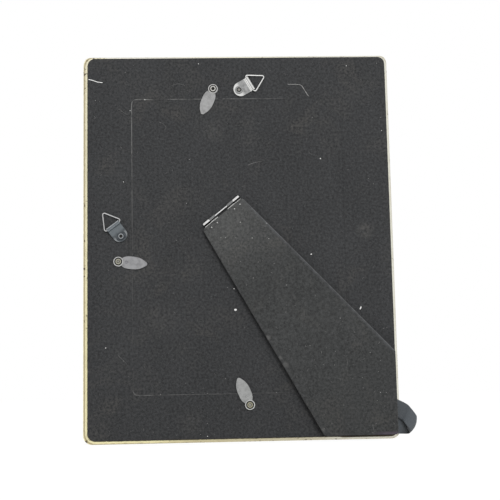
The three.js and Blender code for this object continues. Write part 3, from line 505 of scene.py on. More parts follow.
def gilding_material():
    """Antique leaf: painted glare along the top, upwards and on the right, worn at the upper left corner,
    and bare wood beside the panel, partly painted shade, widened into a painted shadow under the leg's foot.

    It is deeper on its shoulder, partly as painted shade beside the panel, along the bottom and in the
    front's hollow.
    """
    material, w, sockets = new_material("antique_gilding")
    back = placed_group(w, facing, {})["Back"]
    place = w.object_place()
    where = w.parts(place)
    ragged = w.less(w.noise(place, 2.2 * MM, 3.0, 0.6), 0.5)
    outside = placed_group(w, rounded_outline, {
        "Middle": (panel_low + panel_high) / 2,
        "Half": (panel_high - panel_low) / 2,
        "Radius": PANEL_CORNER_RADIUS,
    })["Distance"]
    from_panel = w.plus(outside, ragged, 0.6 * MM)
    shoulder = w.product(
        w.between(from_panel, 1.45 * MM, 1.9 * MM, 2.5 * MM, 3.1 * MM),
        w.fade(where["Y"], MOULDING_BACK_Y + 2 * MM, MOULDING_BACK_Y + 3 * MM),
    )
    rubbed = w.ramp(where["Y"], FRONT_Y - 1.2 * MM, FRONT_Y - 0.2 * MM)
    handled = spot(w, WORN_CORNER, 4 * MM, 22 * MM)
    rubs = w.plus(w.product(rubbed, 0.3), handled, 0.45)
    wear = w.total(0.45, w.plus(rubs, shoulder, 0.25))
    # painted glare: cream towards the right, and whitish along the top and upwards, fading out to the right
    rightward = w.ramp(where["X"], -60 * MM, 70 * MM)
    on_top = w.ramp(where["Z"], panel_high.z - 1 * MM, panel_high.z)
    along_top = w.product(on_top, w.ramp(where["X"], -86 * MM, -78 * MM))
    upward = w.product(w.ramp(where["Z"], 30 * MM, 210 * MM), 0.45)
    painted_glare = w.product(w.largest(along_top, upward), w.inverse(rightward))
    pale = w.mix(painted_glare, w.mix(rightward, GILT_YELLOW, GILT_CREAM), GILT_WHITE)
    # deeper tone on the shoulder beside the panel, partly painted shade, with less of it on the right
    at_shoulder = w.product(shoulder, w.plus(0.85, rightward, -0.5))
    sunk = w.fade(where["Y"], FRONT_Y - 7 * MM, FRONT_Y - 1 * MM)
    in_hollow = w.product(w.fade(back, -0.8, -0.3), sunk, 0.35)
    below = w.fade(where["Z"], 2 * MM, 4 * MM)
    along_bottom = w.product(below, w.between(where["X"], -60 * MM, -25 * MM, 40 * MM, 62 * MM), 0.5)
    behind = w.fade(where["Y"], MOULDING_BACK_Y + 2.5 * MM, MOULDING_BACK_Y + 6 * MM)
    leaf = placed_group(w, worn_leaf, {
        "Pale": w.mix(behind, GILT_SIDE, pale),
        "Deep": w.mix(behind, GILT_HOLLOW, GILT_DEEP),
        "Ground": GILT_GROUND,
        "Depth": w.largest(at_shoulder, along_bottom, in_hollow),
        "Mottling": w.plus(0.65, behind, -0.4),
        "Wear": wear,
    })
    # the line beside the panel is bare wood and painted shade of the gap; under the leg's foot it widens
    # into a painted shadow of the foot
    foot_shadow = w.product(w.ramp(where["X"], leg_high.x - 36 * MM, leg_high.x - 30 * MM), below)
    line_end = w.plus(0.25 * MM, foot_shadow, 0.65 * MM)
    line = w.fade(from_panel, line_end, w.total(line_end, 0.35 * MM))
    wood = w.product(line, w.ramp(back, 0.8, 0.95))
    chip = spot(w, CORNER_CHIP, 0.5 * MM, 0.7 * MM)
    bare = w.largest(wood, w.product(chip, 0.9))
    w.feed(sockets["Base Color"], w.mix(bare, leaf["Colour"], BARE_WOOD_AND_SHADE))
    covered = w.product(w.inverse(leaf["Bare"]), w.inverse(bare))
    w.feed(sockets["Metallic"], w.product(covered, 0.7))
    w.feed(sockets["Roughness"], w.plus(0.8, covered, -0.38))
    bumped(w, sockets, leaf["Height"], 0.12 * MM, 0.4)
    return material


MARK_SOFTNESS = 0.2 * MM
# near-black painted shade for grooves, bores, gaps between parts and the hinge's underside
RECESS_SHADE = (0.02, 0.019, 0.018)
# KNUCKLE_TOP is a painted highlight tone; the _SIDE tones are painted shade on the flanks
KNUCKLE_TOP = (0.95, 0.95, 0.94)
KNUCKLE_SIDE = (0.32, 0.32, 0.32)
LEG_LEAF = (0.27, 0.275, 0.275)
LEG_LEAF_SIDE = (0.19, 0.19, 0.19)
LEG_LEAF_PLATE = (0.80, 0.80, 0.78)
SATIN_DARK = (0.055, 0.064, 0.073)
SATIN_LIGHT = (0.086, 0.097, 0.108)
SATIN_EDGE = (0.16, 0.17, 0.18)
SATIN_SHADE = (0.012, 0.013, 0.015)


def plated_base(name, flat, turned, tarnish, polish):
    """Plated metal of one tone that faces out of the back and another, painted light and shade, that turns
    away; colour left open.
    """
    material, w, sockets = new_material(name)
    plate = placed_group(w, handled_metal, {
        # faces that turn away get the second tone: a painted highlight on the straps' bevels, painted shade
        # on wires, rings, knuckles, leaves, floors and button edges
        "Bright": w.mix(facing_out(w, 0.72, 0.97), turned, flat),
        "Dull": darker(flat, 0.6),
        "Tarnish": tarnish,
        "Polish": polish,
    })
    w.feed(sockets["Roughness"], plate["Roughness"])
    sockets["Metallic"].default_value = 1.0
    bumped(w, sockets, plate["Height"], 0.02 * MM, 0.35)
    return material, w, sockets, plate["Colour"]


def plated_material(name, flat, turned, tarnish, polish, marks=()):
    """Plated metal with discs or rings of another tone, mostly painted shade in bores and grooves and
    painted highlights on rims: (mask, middle, inner, outer, tone, share).
    """
    material, w, sockets, colour = plated_base(name, flat, turned, tarnish, polish)
    for mask, middle, inner, outer, tone, share in marks:
        about = placed_group(w, about_axis, {
            "Middle": middle, "Inner": inner, "Outer": outer, "Softness": MARK_SOFTNESS,
        })
        colour = w.mix(w.product(about[mask], share), colour, tone)
    w.feed(sockets["Base Color"], colour)
    return material


def knuckle_material():
    """Barrel ends and pin, with a painted highlight on top and near-black painted shade towards the leg."""
    material, w, sockets, colour = plated_base(
        "knuckle_nickel", KNUCKLE_TOP, KNUCKLE_SIDE, tarnish=0.35, polish=0.24,
    )
    down = w.reach(w.object_place(), HINGE_MIDDLE, HINGE_DOWN)
    # painted shade on the barrel's side towards the leg
    painted_shade = w.product(w.ramp(down, 0.3 * MM, 0.55 * MM), 0.95)
    w.feed(sockets["Base Color"], w.mix(painted_shade, colour, RECESS_SHADE))
    return material


def leg_leaf_material():
    """The leg's hinge leaf: dull knuckles, a bright plate, and painted shade in the groove by the barrel's
    ends.
    """
    material, w, sockets, colour = plated_base(
        "leg_leaf_nickel", LEG_LEAF, LEG_LEAF_SIDE, tarnish=0.6, polish=0.34,
    )
    place = w.object_place()
    down = w.reach(place, HINGE_MIDDLE, HINGE_DOWN)
    from_middle = w.math("ABSOLUTE", w.reach(place, HINGE_MIDDLE, ALONG_BARREL))
    plate = w.mix(w.ramp(down, 1.3 * MM, 1.5 * MM), colour, LEG_LEAF_PLATE)
    # painted shade in the groove beside the barrel's ends
    groove = w.between(down, 0.4 * MM, 0.6 * MM, 1.35 * MM, 1.55 * MM)
    painted_shade = w.product(groove, w.ramp(from_middle, 9 * MM, 9.4 * MM), 0.97)
    w.feed(sockets["Base Color"], w.mix(painted_shade, plate, RECESS_SHADE))
    return material


def strap_material(name, plate, edge, rivet, toward_ring, border, bands):
    """A hanger's speckled strap with a painted highlight round its end and bands of painted highlight across
    it.

    The border is (start, tone, share) and a band is (start, end, fade, tone, share), from the rivet's axis.
    """
    material, w, sockets, colour = plated_base(name, plate, edge, tarnish=0.7, polish=0.3)
    place = w.object_place()
    speckled = w.ramp(w.noise(place, 1.1 * MM, 3.0, 0.6), 0.46, 0.62)
    colour = w.mix(w.product(speckled, 0.6), colour, darker(plate, 0.45))
    along = w.reach(place, rivet, toward_ring)
    start, tone, share = border
    about = placed_group(w, about_axis, {
        "Middle": rivet, "Inner": start, "Outer": 6 * MM, "Softness": 0.5 * MM,
    })
    # painted highlight round the strap's end
    round_end = w.product(about["Ring"], w.fade(along, 0, 2.5 * MM), share)
    colour = w.mix(round_end, colour, tone)
    # bands of painted highlight across the strap, over its bend and roll
    for start, end, fade, tone, share in bands:
        band = w.between(along, start, start + fade, end, end + fade)
        colour = w.mix(w.product(band, share), colour, tone)
    w.feed(sockets["Base Color"], colour)
    return material


def satin_material(fold_at):
    """Ribbon satin on a UV map of the flat cloth in metres.

    It has painted shade inside its fold, where its edge turns under, and beside the leg.
    """
    material, w, sockets = new_material("ribbon_satin")
    on_cloth = w.place_of("UV")
    where = w.parts(on_cloth)
    threads = w.noise(w.stretched(on_cloth, (12, 1, 1)), 1.2 * MM, 3.0, 0.6)
    weave = w.add("ShaderNodeTexWave", {
        "Vector": on_cloth, "Scale": 1 / (2.6 * MM), "Distortion": 0.6,
    }, bands_direction="Y").outputs["Fac"]
    satin = w.mix(w.ramp(threads, 0.3, 0.7), SATIN_DARK, SATIN_LIGHT)
    from_middle = w.math("ABSOLUTE", where["X"])
    at_edge = w.ramp(from_middle, 0.43 * RIBBON_WIDTH, 0.47 * RIBBON_WIDTH)
    edged = w.mix(w.product(at_edge, w.ramp(weave, 0.2, 0.8), 0.5), satin, SATIN_EDGE)
    slant = w.product(where["X"], math.tan(FOLD_SKEW))
    past_fold = w.less(w.less(where["Y"], slant), fold_at)
    # painted shade inside the fold and on the edge where it turns under
    below = w.ramp(past_fold, -0.3 * MM, 0.3 * MM)
    inside = w.product(below, w.fade(past_fold, 3 * MM, 9 * MM))
    lower_edge = w.fade(where["X"], -0.45 * RIBBON_WIDTH, -0.37 * RIBBON_WIDTH)
    turned = w.product(w.inverse(below), lower_edge)
    # painted shade beside the leg, where the leg shades the ribbon
    at_leg = w.between(past_fold, -17 * MM, -13 * MM, -11 * MM, -8 * MM)
    leg_shade = w.mix(w.product(at_leg, 0.25), edged, SATIN_SHADE)
    shaded = w.product(w.largest(inside, turned), 0.75)
    w.feed(sockets["Base Color"], w.mix(shaded, leg_shade, SATIN_SHADE))
    sockets["Roughness"].default_value = 0.45
    sockets["Sheen Weight"].default_value = 0.1
    bumped(w, sockets, w.plus(threads, weave, 0.5), 0.06 * MM, 0.3)
    return material


def lint_material(name, light, dark):
    material, w, sockets = new_material(name)
    tone = w.ramp(w.noise(w.object_place(), 6 * MM, 2.0), 0.35, 0.65)
    w.feed(sockets["Base Color"], w.mix(tone, dark, light))
    sockets["Roughness"].default_value = 0.8
    return material


def glass_material():
    material, w, sockets = new_material("picture_glass")
    sockets["Base Color"].default_value = (0.96, 0.985, 0.975, 1)
    sockets["Transmission Weight"].default_value = 1.0
    sockets["IOR"].default_value = 1.5
    smears = w.ramp(w.noise(w.object_place(), 18 * MM, 3.0), 0.45, 0.8)
    w.feed(sockets["Roughness"], w.product(smears, 0.04))
    return material


def paper_material(name, light, dark):
    material, w, sockets = new_material(name)
    fibres = w.noise(w.stretched(w.object_place(), (1, 1, 3)), 1.5 * MM, 5.0, 0.7)
    w.feed(sockets["Base Color"], w.mix(w.ramp(fibres, 0.3, 0.75), dark, light))
    sockets["Roughness"].default_value = 0.85
    bumped(w, sockets, fibres, 0.05 * MM, 0.3)
    return material


# Edges of the solids, softened and shaded without touching their meshes
WELD_DISTANCE = 1e-6
FLAT_LIMIT = math.radians(0.5)
BEVEL_LIMIT = math.radians(40)
BEVEL_SEGMENTS = 2
SMOOTH_LIMIT = math.radians(32)
STRAP_BEVEL = 0.25 * MM


def compared(w, first, operation, second):
    return w.made("FunctionNodeCompare", {0: first, 1: second}, operation=operation)


def smooth_shading_tree():
    tree, w, given, put = shape_tree("smooth_by_angle", {})
    angle = w.add("GeometryNodeInputMeshEdgeAngle").outputs["Unsigned Angle"]
    gentle = compared(w, angle, "LESS_THAN", SMOOTH_LIMIT)
    shape = given["Geometry"]
    for domain, smooth in (("FACE", True), ("EDGE", gentle)):
        sockets = {"Geometry": shape, "Shade Smooth": smooth}
        shape = w.made("GeometryNodeSetShadeSmooth", sockets, domain=domain)
    w.feed(put["Geometry"], shape)
    return tree


smooth_by_angle = smooth_shading_tree()


def ease_edges(piece, bevel):
    weld = piece.modifiers.new("weld", "WELD")
    weld.merge_threshold = WELD_DISTANCE
    if bevel:
        whole = piece.modifiers.new("whole_faces", "DECIMATE")
        whole.decimate_type = "DISSOLVE"
        whole.angle_limit = FLAT_LIMIT
        edge = piece.modifiers.new("eased_edge", "BEVEL")
        edge.width = bevel
        edge.segments = BEVEL_SEGMENTS
        edge.limit_method = "ANGLE"
        edge.angle_limit = BEVEL_LIMIT
    shading = piece.modifiers.new("smooth_by_angle", "NODES")
    shading.node_group = smooth_by_angle
    flats = piece.modifiers.new("flat_faces_stay_flat", "WEIGHTED_NORMAL")
    flats.keep_sharp = True
    flats.weight = 100


def dress(material, *names, bevel=0.0):
    for name in names:
        piece = nodes[name]
        piece.data.materials.clear()
        piece.data.materials.append(material)
        ease_edges(piece, bevel)


# Making pieces from lists of places, built meshes and shape trees
def drawn(name, places, edges=(), faces=()):
    mesh = bpy.data.meshes.new(name)
    mesh.from_pydata(places, edges, faces)
    return linked(name, mesh)


def piece_from(name, build, material=None):
    """A new piece with the mesh that was built, in its material."""
    mesh = bpy.data.meshes.new(name)
    build.to_mesh(mesh)
    build.free()
    if material:
        mesh.materials.append(material)
    return linked(name, mesh)


def made_plain(piece):
    """Gives a piece the mesh that its modifiers make, and removes them."""
    depsgraph = bpy.context.evaluated_depsgraph_get()
    mesh = bpy.data.meshes.new_from_object(piece.evaluated_get(depsgraph))
    piece.modifiers.clear()
    piece.data = mesh
    return piece


def shaped(piece, tree, values):
    modifier = piece.modifiers.new(tree.name, "NODES")
    modifier.node_group = tree
    for item in tree.interface.items_tree:
        if item.in_out == "INPUT" and item.name in values:
            modifier[item.identifier] = values[item.name]
    return made_plain(piece)


def merged_copy(name, node_names):
    """One mesh with the named solids in it, their loose triangles joined."""
    build = bmesh.new()
    for node_name in node_names:
        build.from_mesh(nodes[node_name].data)
    bmesh.ops.remove_doubles(build, verts=build.verts, dist=WELD_DISTANCE)
    return piece_from(name, build)


FIBRE_POINTS = 5
FIBRE_SIDES = 4
THREAD_SIDES = 6
PLUG_SIDES = 14
FRAY_BOW = 0.2
LINT_LIFT = 0.05 * MM
SQUARELY_OUT = 0.99  # least cosine between a face that carries lint and the way out of the back


def path_of(w, mesh):
    return w.made("GeometryNodeMeshToCurve", {0: mesh})


def resampled(w, curve, step):
    return w.made("GeometryNodeResampleCurve", {"Curve": curve, "Length": step}, mode="LENGTH")


def tube_along(w, curve, sides, radius):
    section = w.made("GeometryNodeCurvePrimitiveCircle", {"Resolution": sides, "Radius": radius})
    return w.made("GeometryNodeCurveToMesh", {0: curve, 1: section, "Fill Caps": True})


def turn_about(w, axis, angle):
    return w.made("FunctionNodeAxisAngleToRotation", {"Axis": axis, "Angle": angle})


def fibre(w, thickness, bow):
    """A bowed fibre, one unit long."""
    line = w.made("GeometryNodeCurveQuadraticBezier", {
        "Resolution": FIBRE_POINTS,
        "Start": (-0.5, 0, 0), "Middle": w.made("ShaderNodeCombineXYZ", {1: bow}), "End": (0.5, 0, 0),
    })
    return tube_along(w, line, FIBRE_SIDES, thickness)


def random_number(w, low, high, seed):
    """A different number between low and high for each point."""
    return w.add("FunctionNodeRandomValue", {2: low, 3: high, 8: seed}, data_type="FLOAT").outputs[1]


def turned_fibres(w, points, rotation, thickness, bow, length, seed):
    spin = turn_about(w, (0, 0, 1), random_number(w, 0.0, 2 * math.pi, seed))
    turns = {"Rotation": rotation, "Rotate By": spin}
    return w.made("GeometryNodeInstanceOnPoints", {
        "Points": points, "Instance": fibre(w, thickness, bow),
        "Rotation": w.made("FunctionNodeRotateRotation", turns, rotation_space="LOCAL"),
        "Scale": w.made("ShaderNodeCombineXYZ", {0: length, 1: length, 2: length}),
    })


def finished(w, put, instances, material):
    whole = w.made("GeometryNodeRealizeInstances", {0: instances})
    w.feed(put["Geometry"], w.made("GeometryNodeSetMaterial", {"Geometry": whole, "Material": material}))


def lint_tree():
    """Loose fibres lying on the faces that look out of the back."""
    tree, w, given, put = shape_tree("scattered_lint", {
        "Density": NUMBER, "Shortest": NUMBER, "Longest": NUMBER, "Thickness": NUMBER, "Bow": NUMBER,
        "Seed": COUNT, "Material": FINISH,
    })
    outward = w.vector("DOT_PRODUCT", w.made("GeometryNodeInputNormal"), OUT_OF_BACK)
    strewn = w.add("GeometryNodeDistributePointsOnFaces", {
        "Mesh": given["Geometry"], "Selection": compared(w, outward, "GREATER_THAN", SQUARELY_OUT),
        "Density": given["Density"], "Seed": given["Seed"],
    }).outputs
    lift = {0: strewn["Normal"], "Scale": LINT_LIFT}
    raised = w.made("ShaderNodeVectorMath", lift, operation="SCALE")
    points = w.made("GeometryNodeSetPosition", {"Geometry": strewn["Points"], "Offset": raised})
    chance = random_number(w, 0.0, 1.0, given["Seed"])
    longer = w.product(w.less(given["Longest"], given["Shortest"]), w.math("POWER", chance, 3.0))
    fibres = turned_fibres(
        w, points, strewn["Rotation"], given["Thickness"], given["Bow"],
        w.total(given["Shortest"], longer), w.total(given["Seed"], 1.0),
    )
    finished(w, put, fibres, given["Material"])
    return tree


def fray_tree():
    """Short fibres along a path on the back, thick where the path's own fray value is high."""
    tree, w, given, put = shape_tree("frayed_edge", {
        "Spacing": NUMBER, "Shortest": NUMBER, "Longest": NUMBER, "Thickness": NUMBER, "Seed": COUNT,
        "Material": FINISH,
    })
    stations = resampled(w, path_of(w, given["Geometry"]), given["Spacing"])
    points = w.made("GeometryNodeCurveToPoints", {"Curve": stations}, mode="EVALUATED")
    fray = w.made("GeometryNodeInputNamedAttribute", {"Name": "fray"}, data_type="FLOAT")
    bare = compared(w, random_number(w, 0.0, 1.0, given["Seed"]), "GREATER_THAN", fray)
    kept = w.made("GeometryNodeDeleteGeometry", {0: points, "Selection": bare}, domain="POINT")
    length = random_number(w, given["Shortest"], given["Longest"], w.total(given["Seed"], 1.0))
    upright = turn_about(w, (1, 0, 0), math.pi / 2)
    seed = w.total(given["Seed"], 2.0)
    fibres = turned_fibres(w, kept, upright, given["Thickness"], FRAY_BOW, length, seed)
    finished(w, put, fibres, given["Material"])
    return tree


def band_tree():
    """A flat band that follows a closed path on the back."""
    tree, w, given, put = shape_tree("flat_band", {"Width": NUMBER, "Height": NUMBER, "Material": FINISH})
    facing_back = {"Curve": path_of(w, given["Geometry"]), "Normal": OUT_OF_BACK}
    path = w.made("GeometryNodeSetCurveNormal", facing_back, mode="FREE")
    section = w.made("GeometryNodeCurvePrimitiveQuadrilateral", {
        "Width": given["Height"], "Height": given["Width"],
    })
    band = w.made("GeometryNodeCurveToMesh", {0: path, 1: section})
    finished(w, put, band, given["Material"])
    return tree


def floor_tree():
    """A low round plug on each point, square to the back."""
    tree, w, given, put = shape_tree("rivet_floors", {
        "Radius": NUMBER, "Height": NUMBER, "Material": FINISH,
    })
    plug = w.add("GeometryNodeMeshCylinder", {
        "Vertices": PLUG_SIDES, "Radius": given["Radius"], "Depth": given["Height"],
    })
    spread = w.made("GeometryNodeInstanceOnPoints", {
        "Points": w.made("GeometryNodeMeshToPoints", {0: given["Geometry"]}),
        "Instance": plug.outputs["Mesh"],
        "Rotation": turn_about(w, (1, 0, 0), math.pi / 2),
    })
    finished(w, put, spread, given["Material"])
    return tree


def thread_tree():
    """A thread drawn smoothly through a chain of points."""
    tree, w, given, put = shape_tree("laid_thread", {
        "Radius": NUMBER, "Step": NUMBER, "Material": FINISH,
    })
    path = {0: path_of(w, given["Geometry"])}
    bent = w.made("GeometryNodeCurveSplineType", path, spline_type="CATMULL_ROM")
    tube = tube_along(w, resampled(w, bent, given["Step"]), THREAD_SIDES, given["Radius"])
    finished(w, put, tube, given["Material"])
    return tree


# The cut round the door: pile that closes over it, and fibres that stand out of it
FRAY_LIFT = 0.03 * MM
CUT_STEP = 5 * MM
CORNER_STEP = 15  # degrees


def cut_points():
    """The middle of the cut as points (across the back, up from its middle), about a step apart."""
    across = DOOR_HALF_WIDTH + DOOR_GAP / 2 - DOOR_CORNER_RADIUS
    up = DOOR_HALF_HEIGHT + DOOR_GAP / 2 - DOOR_CORNER_RADIUS
    radius = DOOR_CORNER_RADIUS
    outline = []
    for x, z, start in ((across, up, 0), (-across, up, 90), (-across, -up, 180), (across, -up, 270)):
        for turn in range(0, 91, CORNER_STEP):
            angle = math.radians(start + turn)
            outline.append((x + radius * math.cos(angle), z + radius * math.sin(angle)))
    points = []
    for (x0, z0), (x1, z1) in zip(outline, outline[1:] + outline[:1]):
        pieces = max(1, round(math.hypot(x1 - x0, z1 - z0) / CUT_STEP))
        points += [(x0 + (x1 - x0) * k / pieces, z0 + (z1 - z0) * k / pieces) for k in range(pieces)]
    return points


def fray_at(x, z):
    """How frayed the cut is: strong at the top left corner, fading to nothing at the right."""
    leftward = min(1.0, max(0.0, 0.3 - 0.7 * x / DOOR_HALF_WIDTH))
    return leftward * max(0.15, 0.4 + 0.6 * z / DOOR_HALF_HEIGHT)


def cut_path(name, lift):
    points = cut_points()
    edges = [(i, (i + 1) % len(points)) for i in range(len(points))]
    path = drawn(name, [(x, BACK_Y - lift, MIDDLE_Z + z) for x, z in points], edges)
    fray = path.data.attributes.new("fray", "FLOAT", "POINT")
    fray.data.foreach_set("value", [fray_at(x, z) for x, z in points])
    return path


# Loose lint: single threads where the photograph shows them, and fine lint all over
THREAD_LIFT = 0.1 * MM
THREAD_STEP = 0.8 * MM
SPECK_RISE = 0.3  # of a speck's middle over what carries it, as a share of its radius
SPECK_HEIGHT = 0.5  # shares of a ball's size
SPECK_LENGTH = 0.8
WHITE_THREADS = (  # radius, points across and up the back, in millimetres
    (0.24, ((-90.9, 221.5), (-88.7, 221.1), (-85.7, 220.0), (-82.3, 219.5))),
    (0.4, ((72.8, 79.0), (72.5, 78.3), (72.0, 77.3))),
)
PALE_THREADS = (
    (0.12, ((31.7, 217.5), (35.1, 217.5), (38.8, 217.2), (40.5, 216.4), (42.4, 213.2), (44.5, 209.8))),
)
FAINT_THREADS = (
    (0.09, ((6.2, 166.8), (9.9, 168.2), (14.8, 169.1))),
    (0.09, ((-72.2, 202.7), (-69.6, 200.7), (-67.0, 199.0))),
    (0.07, ((-47.8, 194.4), (-44.8, 192.8), (-43.6, 190.6), (-44.5, 189.6))),
    (0.06, ((-39.7, 217.4), (-36.6, 218.2), (-33.2, 217.9), (-31.8, 216.9))),
    (0.06, ((43.3, 174.9), (45.4, 173.0), (48.4, 172.5))),
    (0.07, ((-73.2, 52.2), (-70.6, 49.6), (-67.5, 46.1))),
)
BACK_SPECKS = (  # radius, place across and up the back, in millimetres
    (0.95, -3.0, 78.3), (0.43, 50.8, 170.4), (0.25, 89.1, 187.6), (0.34, -80.6, 56.9),
    (0.28, 68.6, 229.0), (0.28, -69.7, 157.3), (0.28, -20.9, 3.8), (0.37, -3.6, 91.1), (0.48, 43.5, 111.3),
    (0.25, -23.2, 231.0), (0.3, -56.3, 208.4), (0.28, -65.4, 201.6),
)
FAINT_SPECKS = (
    (0.4, 46.5, 196.3), (0.4, -48.3, 28.8), (0.36, 85.9, 65.6), (0.36, -29.5, 170.7), (0.36, 88.8, 195.9),
    (0.36, -9.7, 37.5), (0.34, -37.9, 120.9), (0.34, -63.2, 230.3), (0.32, -68.2, 225.9),
    (0.32, 83.0, 154.4), (0.32, 79.9, 157.6), (0.42, -31.6, 143.5), (0.36, 87.6, 230.6), (0.34, -7.6, 91.9),
    (0.32, -20.8, 11.3), (0.32, -25.0, 5.0), (0.34, -86.6, 208.3), (0.34, -53.7, 208.3), (0.32, -20.5, 28.9),
    (0.34, 20.5, 28.7), (0.42, -20.9, 126.2),
)
LEG_THREADS = (
    (0.09, ((62.5, 47.8), (62.6, 45.2), (62.2, 42.5))),
    (0.08, ((76.5, 9.2), (76.7, 6.8), (77.1, 4.5))),
)
BRIGHT_LEG_SPECKS = (
    (0.28, -11.1, 121.5), (0.26, -8.4, 121.5), (0.3, 7.7, 121.1), (0.28, 17.7, 120.5), (0.32, 0.8, 130.8),
    (0.3, 81.6, 27.5), (0.24, 59.3, 71.9), (0.28, 27.6, 92.3),
)
LEG_SPECKS = (
    (0.28, -2.1, 121.6), (0.46, 16.6, 129.9), (0.44, 20.6, 105.5), (0.42, 11.1, 106.5), (0.34, 0.5, 106.9),
    (0.42, 7.9, 96.9), (0.34, 76.5, 51.1), (0.3, 82.4, 46.2), (0.3, 71.5, 30.3), (0.36, 52.4, 10.1),
    (0.28, 78.4, 9.4), (0.34, 40.7, 55.9), (0.26, 55.8, 52.2), (0.34, 79.6, 22.8), (0.3, 85.2, 27.4),
)


def laid_thread(name, radius, points, height_at, material):
    places = [(x * MM, height_at(x * MM, z * MM) - THREAD_LIFT, z * MM) for x, z in points]
    chain = drawn(name, places, [(i, i + 1) for i in range(len(places) - 1)])
    return shaped(chain, thread, {"Radius": radius * MM, "Step": THREAD_STEP, "Material": material})


def laid_specks(name, specks, height_at, material):
    """Flattened crumbs of lint, sunk a little into what carries them."""
    build = bmesh.new()
    for radius, x, z in specks:
        middle = Vector((x * MM, height_at(x * MM, z * MM) - SPECK_RISE * radius * MM, z * MM))
        made = bmesh.ops.create_icosphere(build, subdivisions=1, radius=radius * MM)
        for vertex in made["verts"]:
            across, out, up = vertex.co
            vertex.co = Vector((across, SPECK_HEIGHT * out, SPECK_LENGTH * up)) + middle
    return piece_from(name, build, material)


def loose_lint(name, height_at, material, threads, specks):
    """Threads and specks as one piece, laid at the height of what carries them."""
    pieces = []
    for index, (radius, points) in enumerate(threads):
        pieces.append(laid_thread(f"{name}_{index}", radius, points, height_at, material))
    if specks:
        pieces.append(laid_specks(f"{name}_crumbs", specks, height_at, material))
    build = bmesh.new()
    for piece in pieces:
        build.from_mesh(piece.data)
        bpy.data.objects.remove(piece)
    return piece_from(name, build, material)


def back_height(x, z):
    return BACK_Y


def leg_height(x, z):
    """The leg's outer face, which is its largest flat one on that side."""
    face = max(nodes["easel_leg"].data.polygons, key=lambda polygon: -polygon.normal.y * polygon.area)
    tilt, middle = face.normal, face.center
    return middle.y - (tilt.x * (x - middle.x) + tilt.z * (z - middle.z)) / tilt.y


# Ribbon stay: the solid's slanted fold with a woven strip's fall and thickness
RIBBON_WIDTH = 11 * MM
RIBBON_THICKNESS = 0.3 * MM
RIBBON_REACH = 9 * MM  # of the fold's middle past the panel's side
RIBBON_RISE = 6.6 * MM  # of the fold's middle over the panel's lower edge
FOLD_ANGLE = math.radians(68)
FOLD_SKEW = math.radians(14)
FOLD_HEIGHT = 4.6 * MM
LEG_RUN = 40 * MM
PANEL_RUN = 33 * MM
LEG_SIDE = 8.73 * MM  # from the fold to the leg's side
LEG_END_HEIGHT = 2.8 * MM
LEG_SIDE_HEIGHT = 3.2 * MM
PANEL_HEIGHT = 0.5 * MM
TURN_DEPTH = 4.2 * MM  # of the loose turn of the cloth, a little less than the solid's
CREASE_AT_LEG = -0.70  # where the upper layer's lower edge turns down, as a share of the half width
CREASE_AT_FOLD = -0.86
CREASE_SHIFT = (-5 * MM, 3 * MM)  # past the turn's start, where the crease moves from one to the other
CREASE_ANGLE = math.radians(125)
TUCK_START = 13 * MM  # before the turn, where the edge starts to turn down
TUCK_FULL = 6 * MM
TUCK_END = 4 * MM  # past the turn's start, where the edge is flat again
BOW_OUT = 1.3 * MM  # of the fold's middle
BOW_LEAN = -0.35 * MM  # less than 0 bows its upper end further out
BOW_ENDS = 1.4 * MM  # by which its ends stay behind
BOW_FADE = (2 * MM, 9 * MM)  # from the fold, where the bow starts to fade and where it is gone
FOLD_PINCH = 0.5 * MM  # by which each end of the fold is drawn in
UPPER_SLIP = 1.4 * MM  # of the upper layer up along the fold
LOWER_SLIP = 1.5 * MM  # of the lower layer down along it
SLIP_FADE = (8 * MM, 20 * MM)  # from the fold
SLIP_SHIFT = (-10 * MM, 4 * MM)  # past the fold, where one slip gives way to the other
RIPPLE = 0.05 * MM
RIPPLE_LENGTH = 2.6 * MM
RIPPLE_SLANT = 1.7
LEG_RUN_ROWS = 26
LIFT_ROWS = 12
TURN_ROWS = 25
PANEL_RUN_ROWS = 24
RIBBON_COLUMNS = 21


def ribbon_profile():
    """Points (across the fold, above the back) from leg to panel, and the number of the turn's first one."""
    lean = math.cos(FOLD_SKEW)
    top = PANEL_HEIGHT + FOLD_HEIGHT
    run = np.linspace(0, 1, LEG_RUN_ROWS, endpoint=False)
    across = -LEG_RUN * lean + (LEG_RUN * lean - LEG_SIDE) * run
    leg_run = np.column_stack((across, LEG_END_HEIGHT + (LEG_SIDE_HEIGHT - LEG_END_HEIGHT) * run))
    t = np.linspace(0, 1, LIFT_ROWS, endpoint=False)
    halfway = -(LEG_SIDE + TURN_DEPTH) / 2
    across = -LEG_SIDE * (1 - t) ** 3 + 3 * t * (1 - t) * halfway - TURN_DEPTH * t ** 3
    lift = np.column_stack((across, LEG_SIDE_HEIGHT + (top - LEG_SIDE_HEIGHT) * t * t * (3 - 2 * t)))
    angle = np.linspace(math.pi / 2, -math.pi / 2, TURN_ROWS)
    middle = PANEL_HEIGHT + FOLD_HEIGHT / 2
    turn = np.column_stack((TURN_DEPTH * (np.cos(angle) - 1), middle + FOLD_HEIGHT / 2 * np.sin(angle)))
    run = np.linspace(0, 1, PANEL_RUN_ROWS + 1)[1:]
    across = -TURN_DEPTH - (PANEL_RUN * lean - TURN_DEPTH) * run
    panel_run = np.column_stack((across, np.full(PANEL_RUN_ROWS, PANEL_HEIGHT)))
    return np.concatenate((leg_run, lift, turn, panel_run)), len(leg_run) + len(lift)


def smooth_step(value, low, high):
    t = min(1.0, max(0.0, (value - low) / (high - low)))
    return t * t * (3 - 2 * t)


def ribbon_place(across, along_fold):
    """A place on the back: across the fold, and along it, from the fold's middle."""
    along = np.array((math.cos(FOLD_ANGLE), math.sin(FOLD_ANGLE)))
    outward = np.array((along[1], -along[0]))
    centre = np.array((panel_high.x + RIBBON_REACH, panel_low.z + RIBBON_RISE))
    return centre + along * along_fold + outward * across


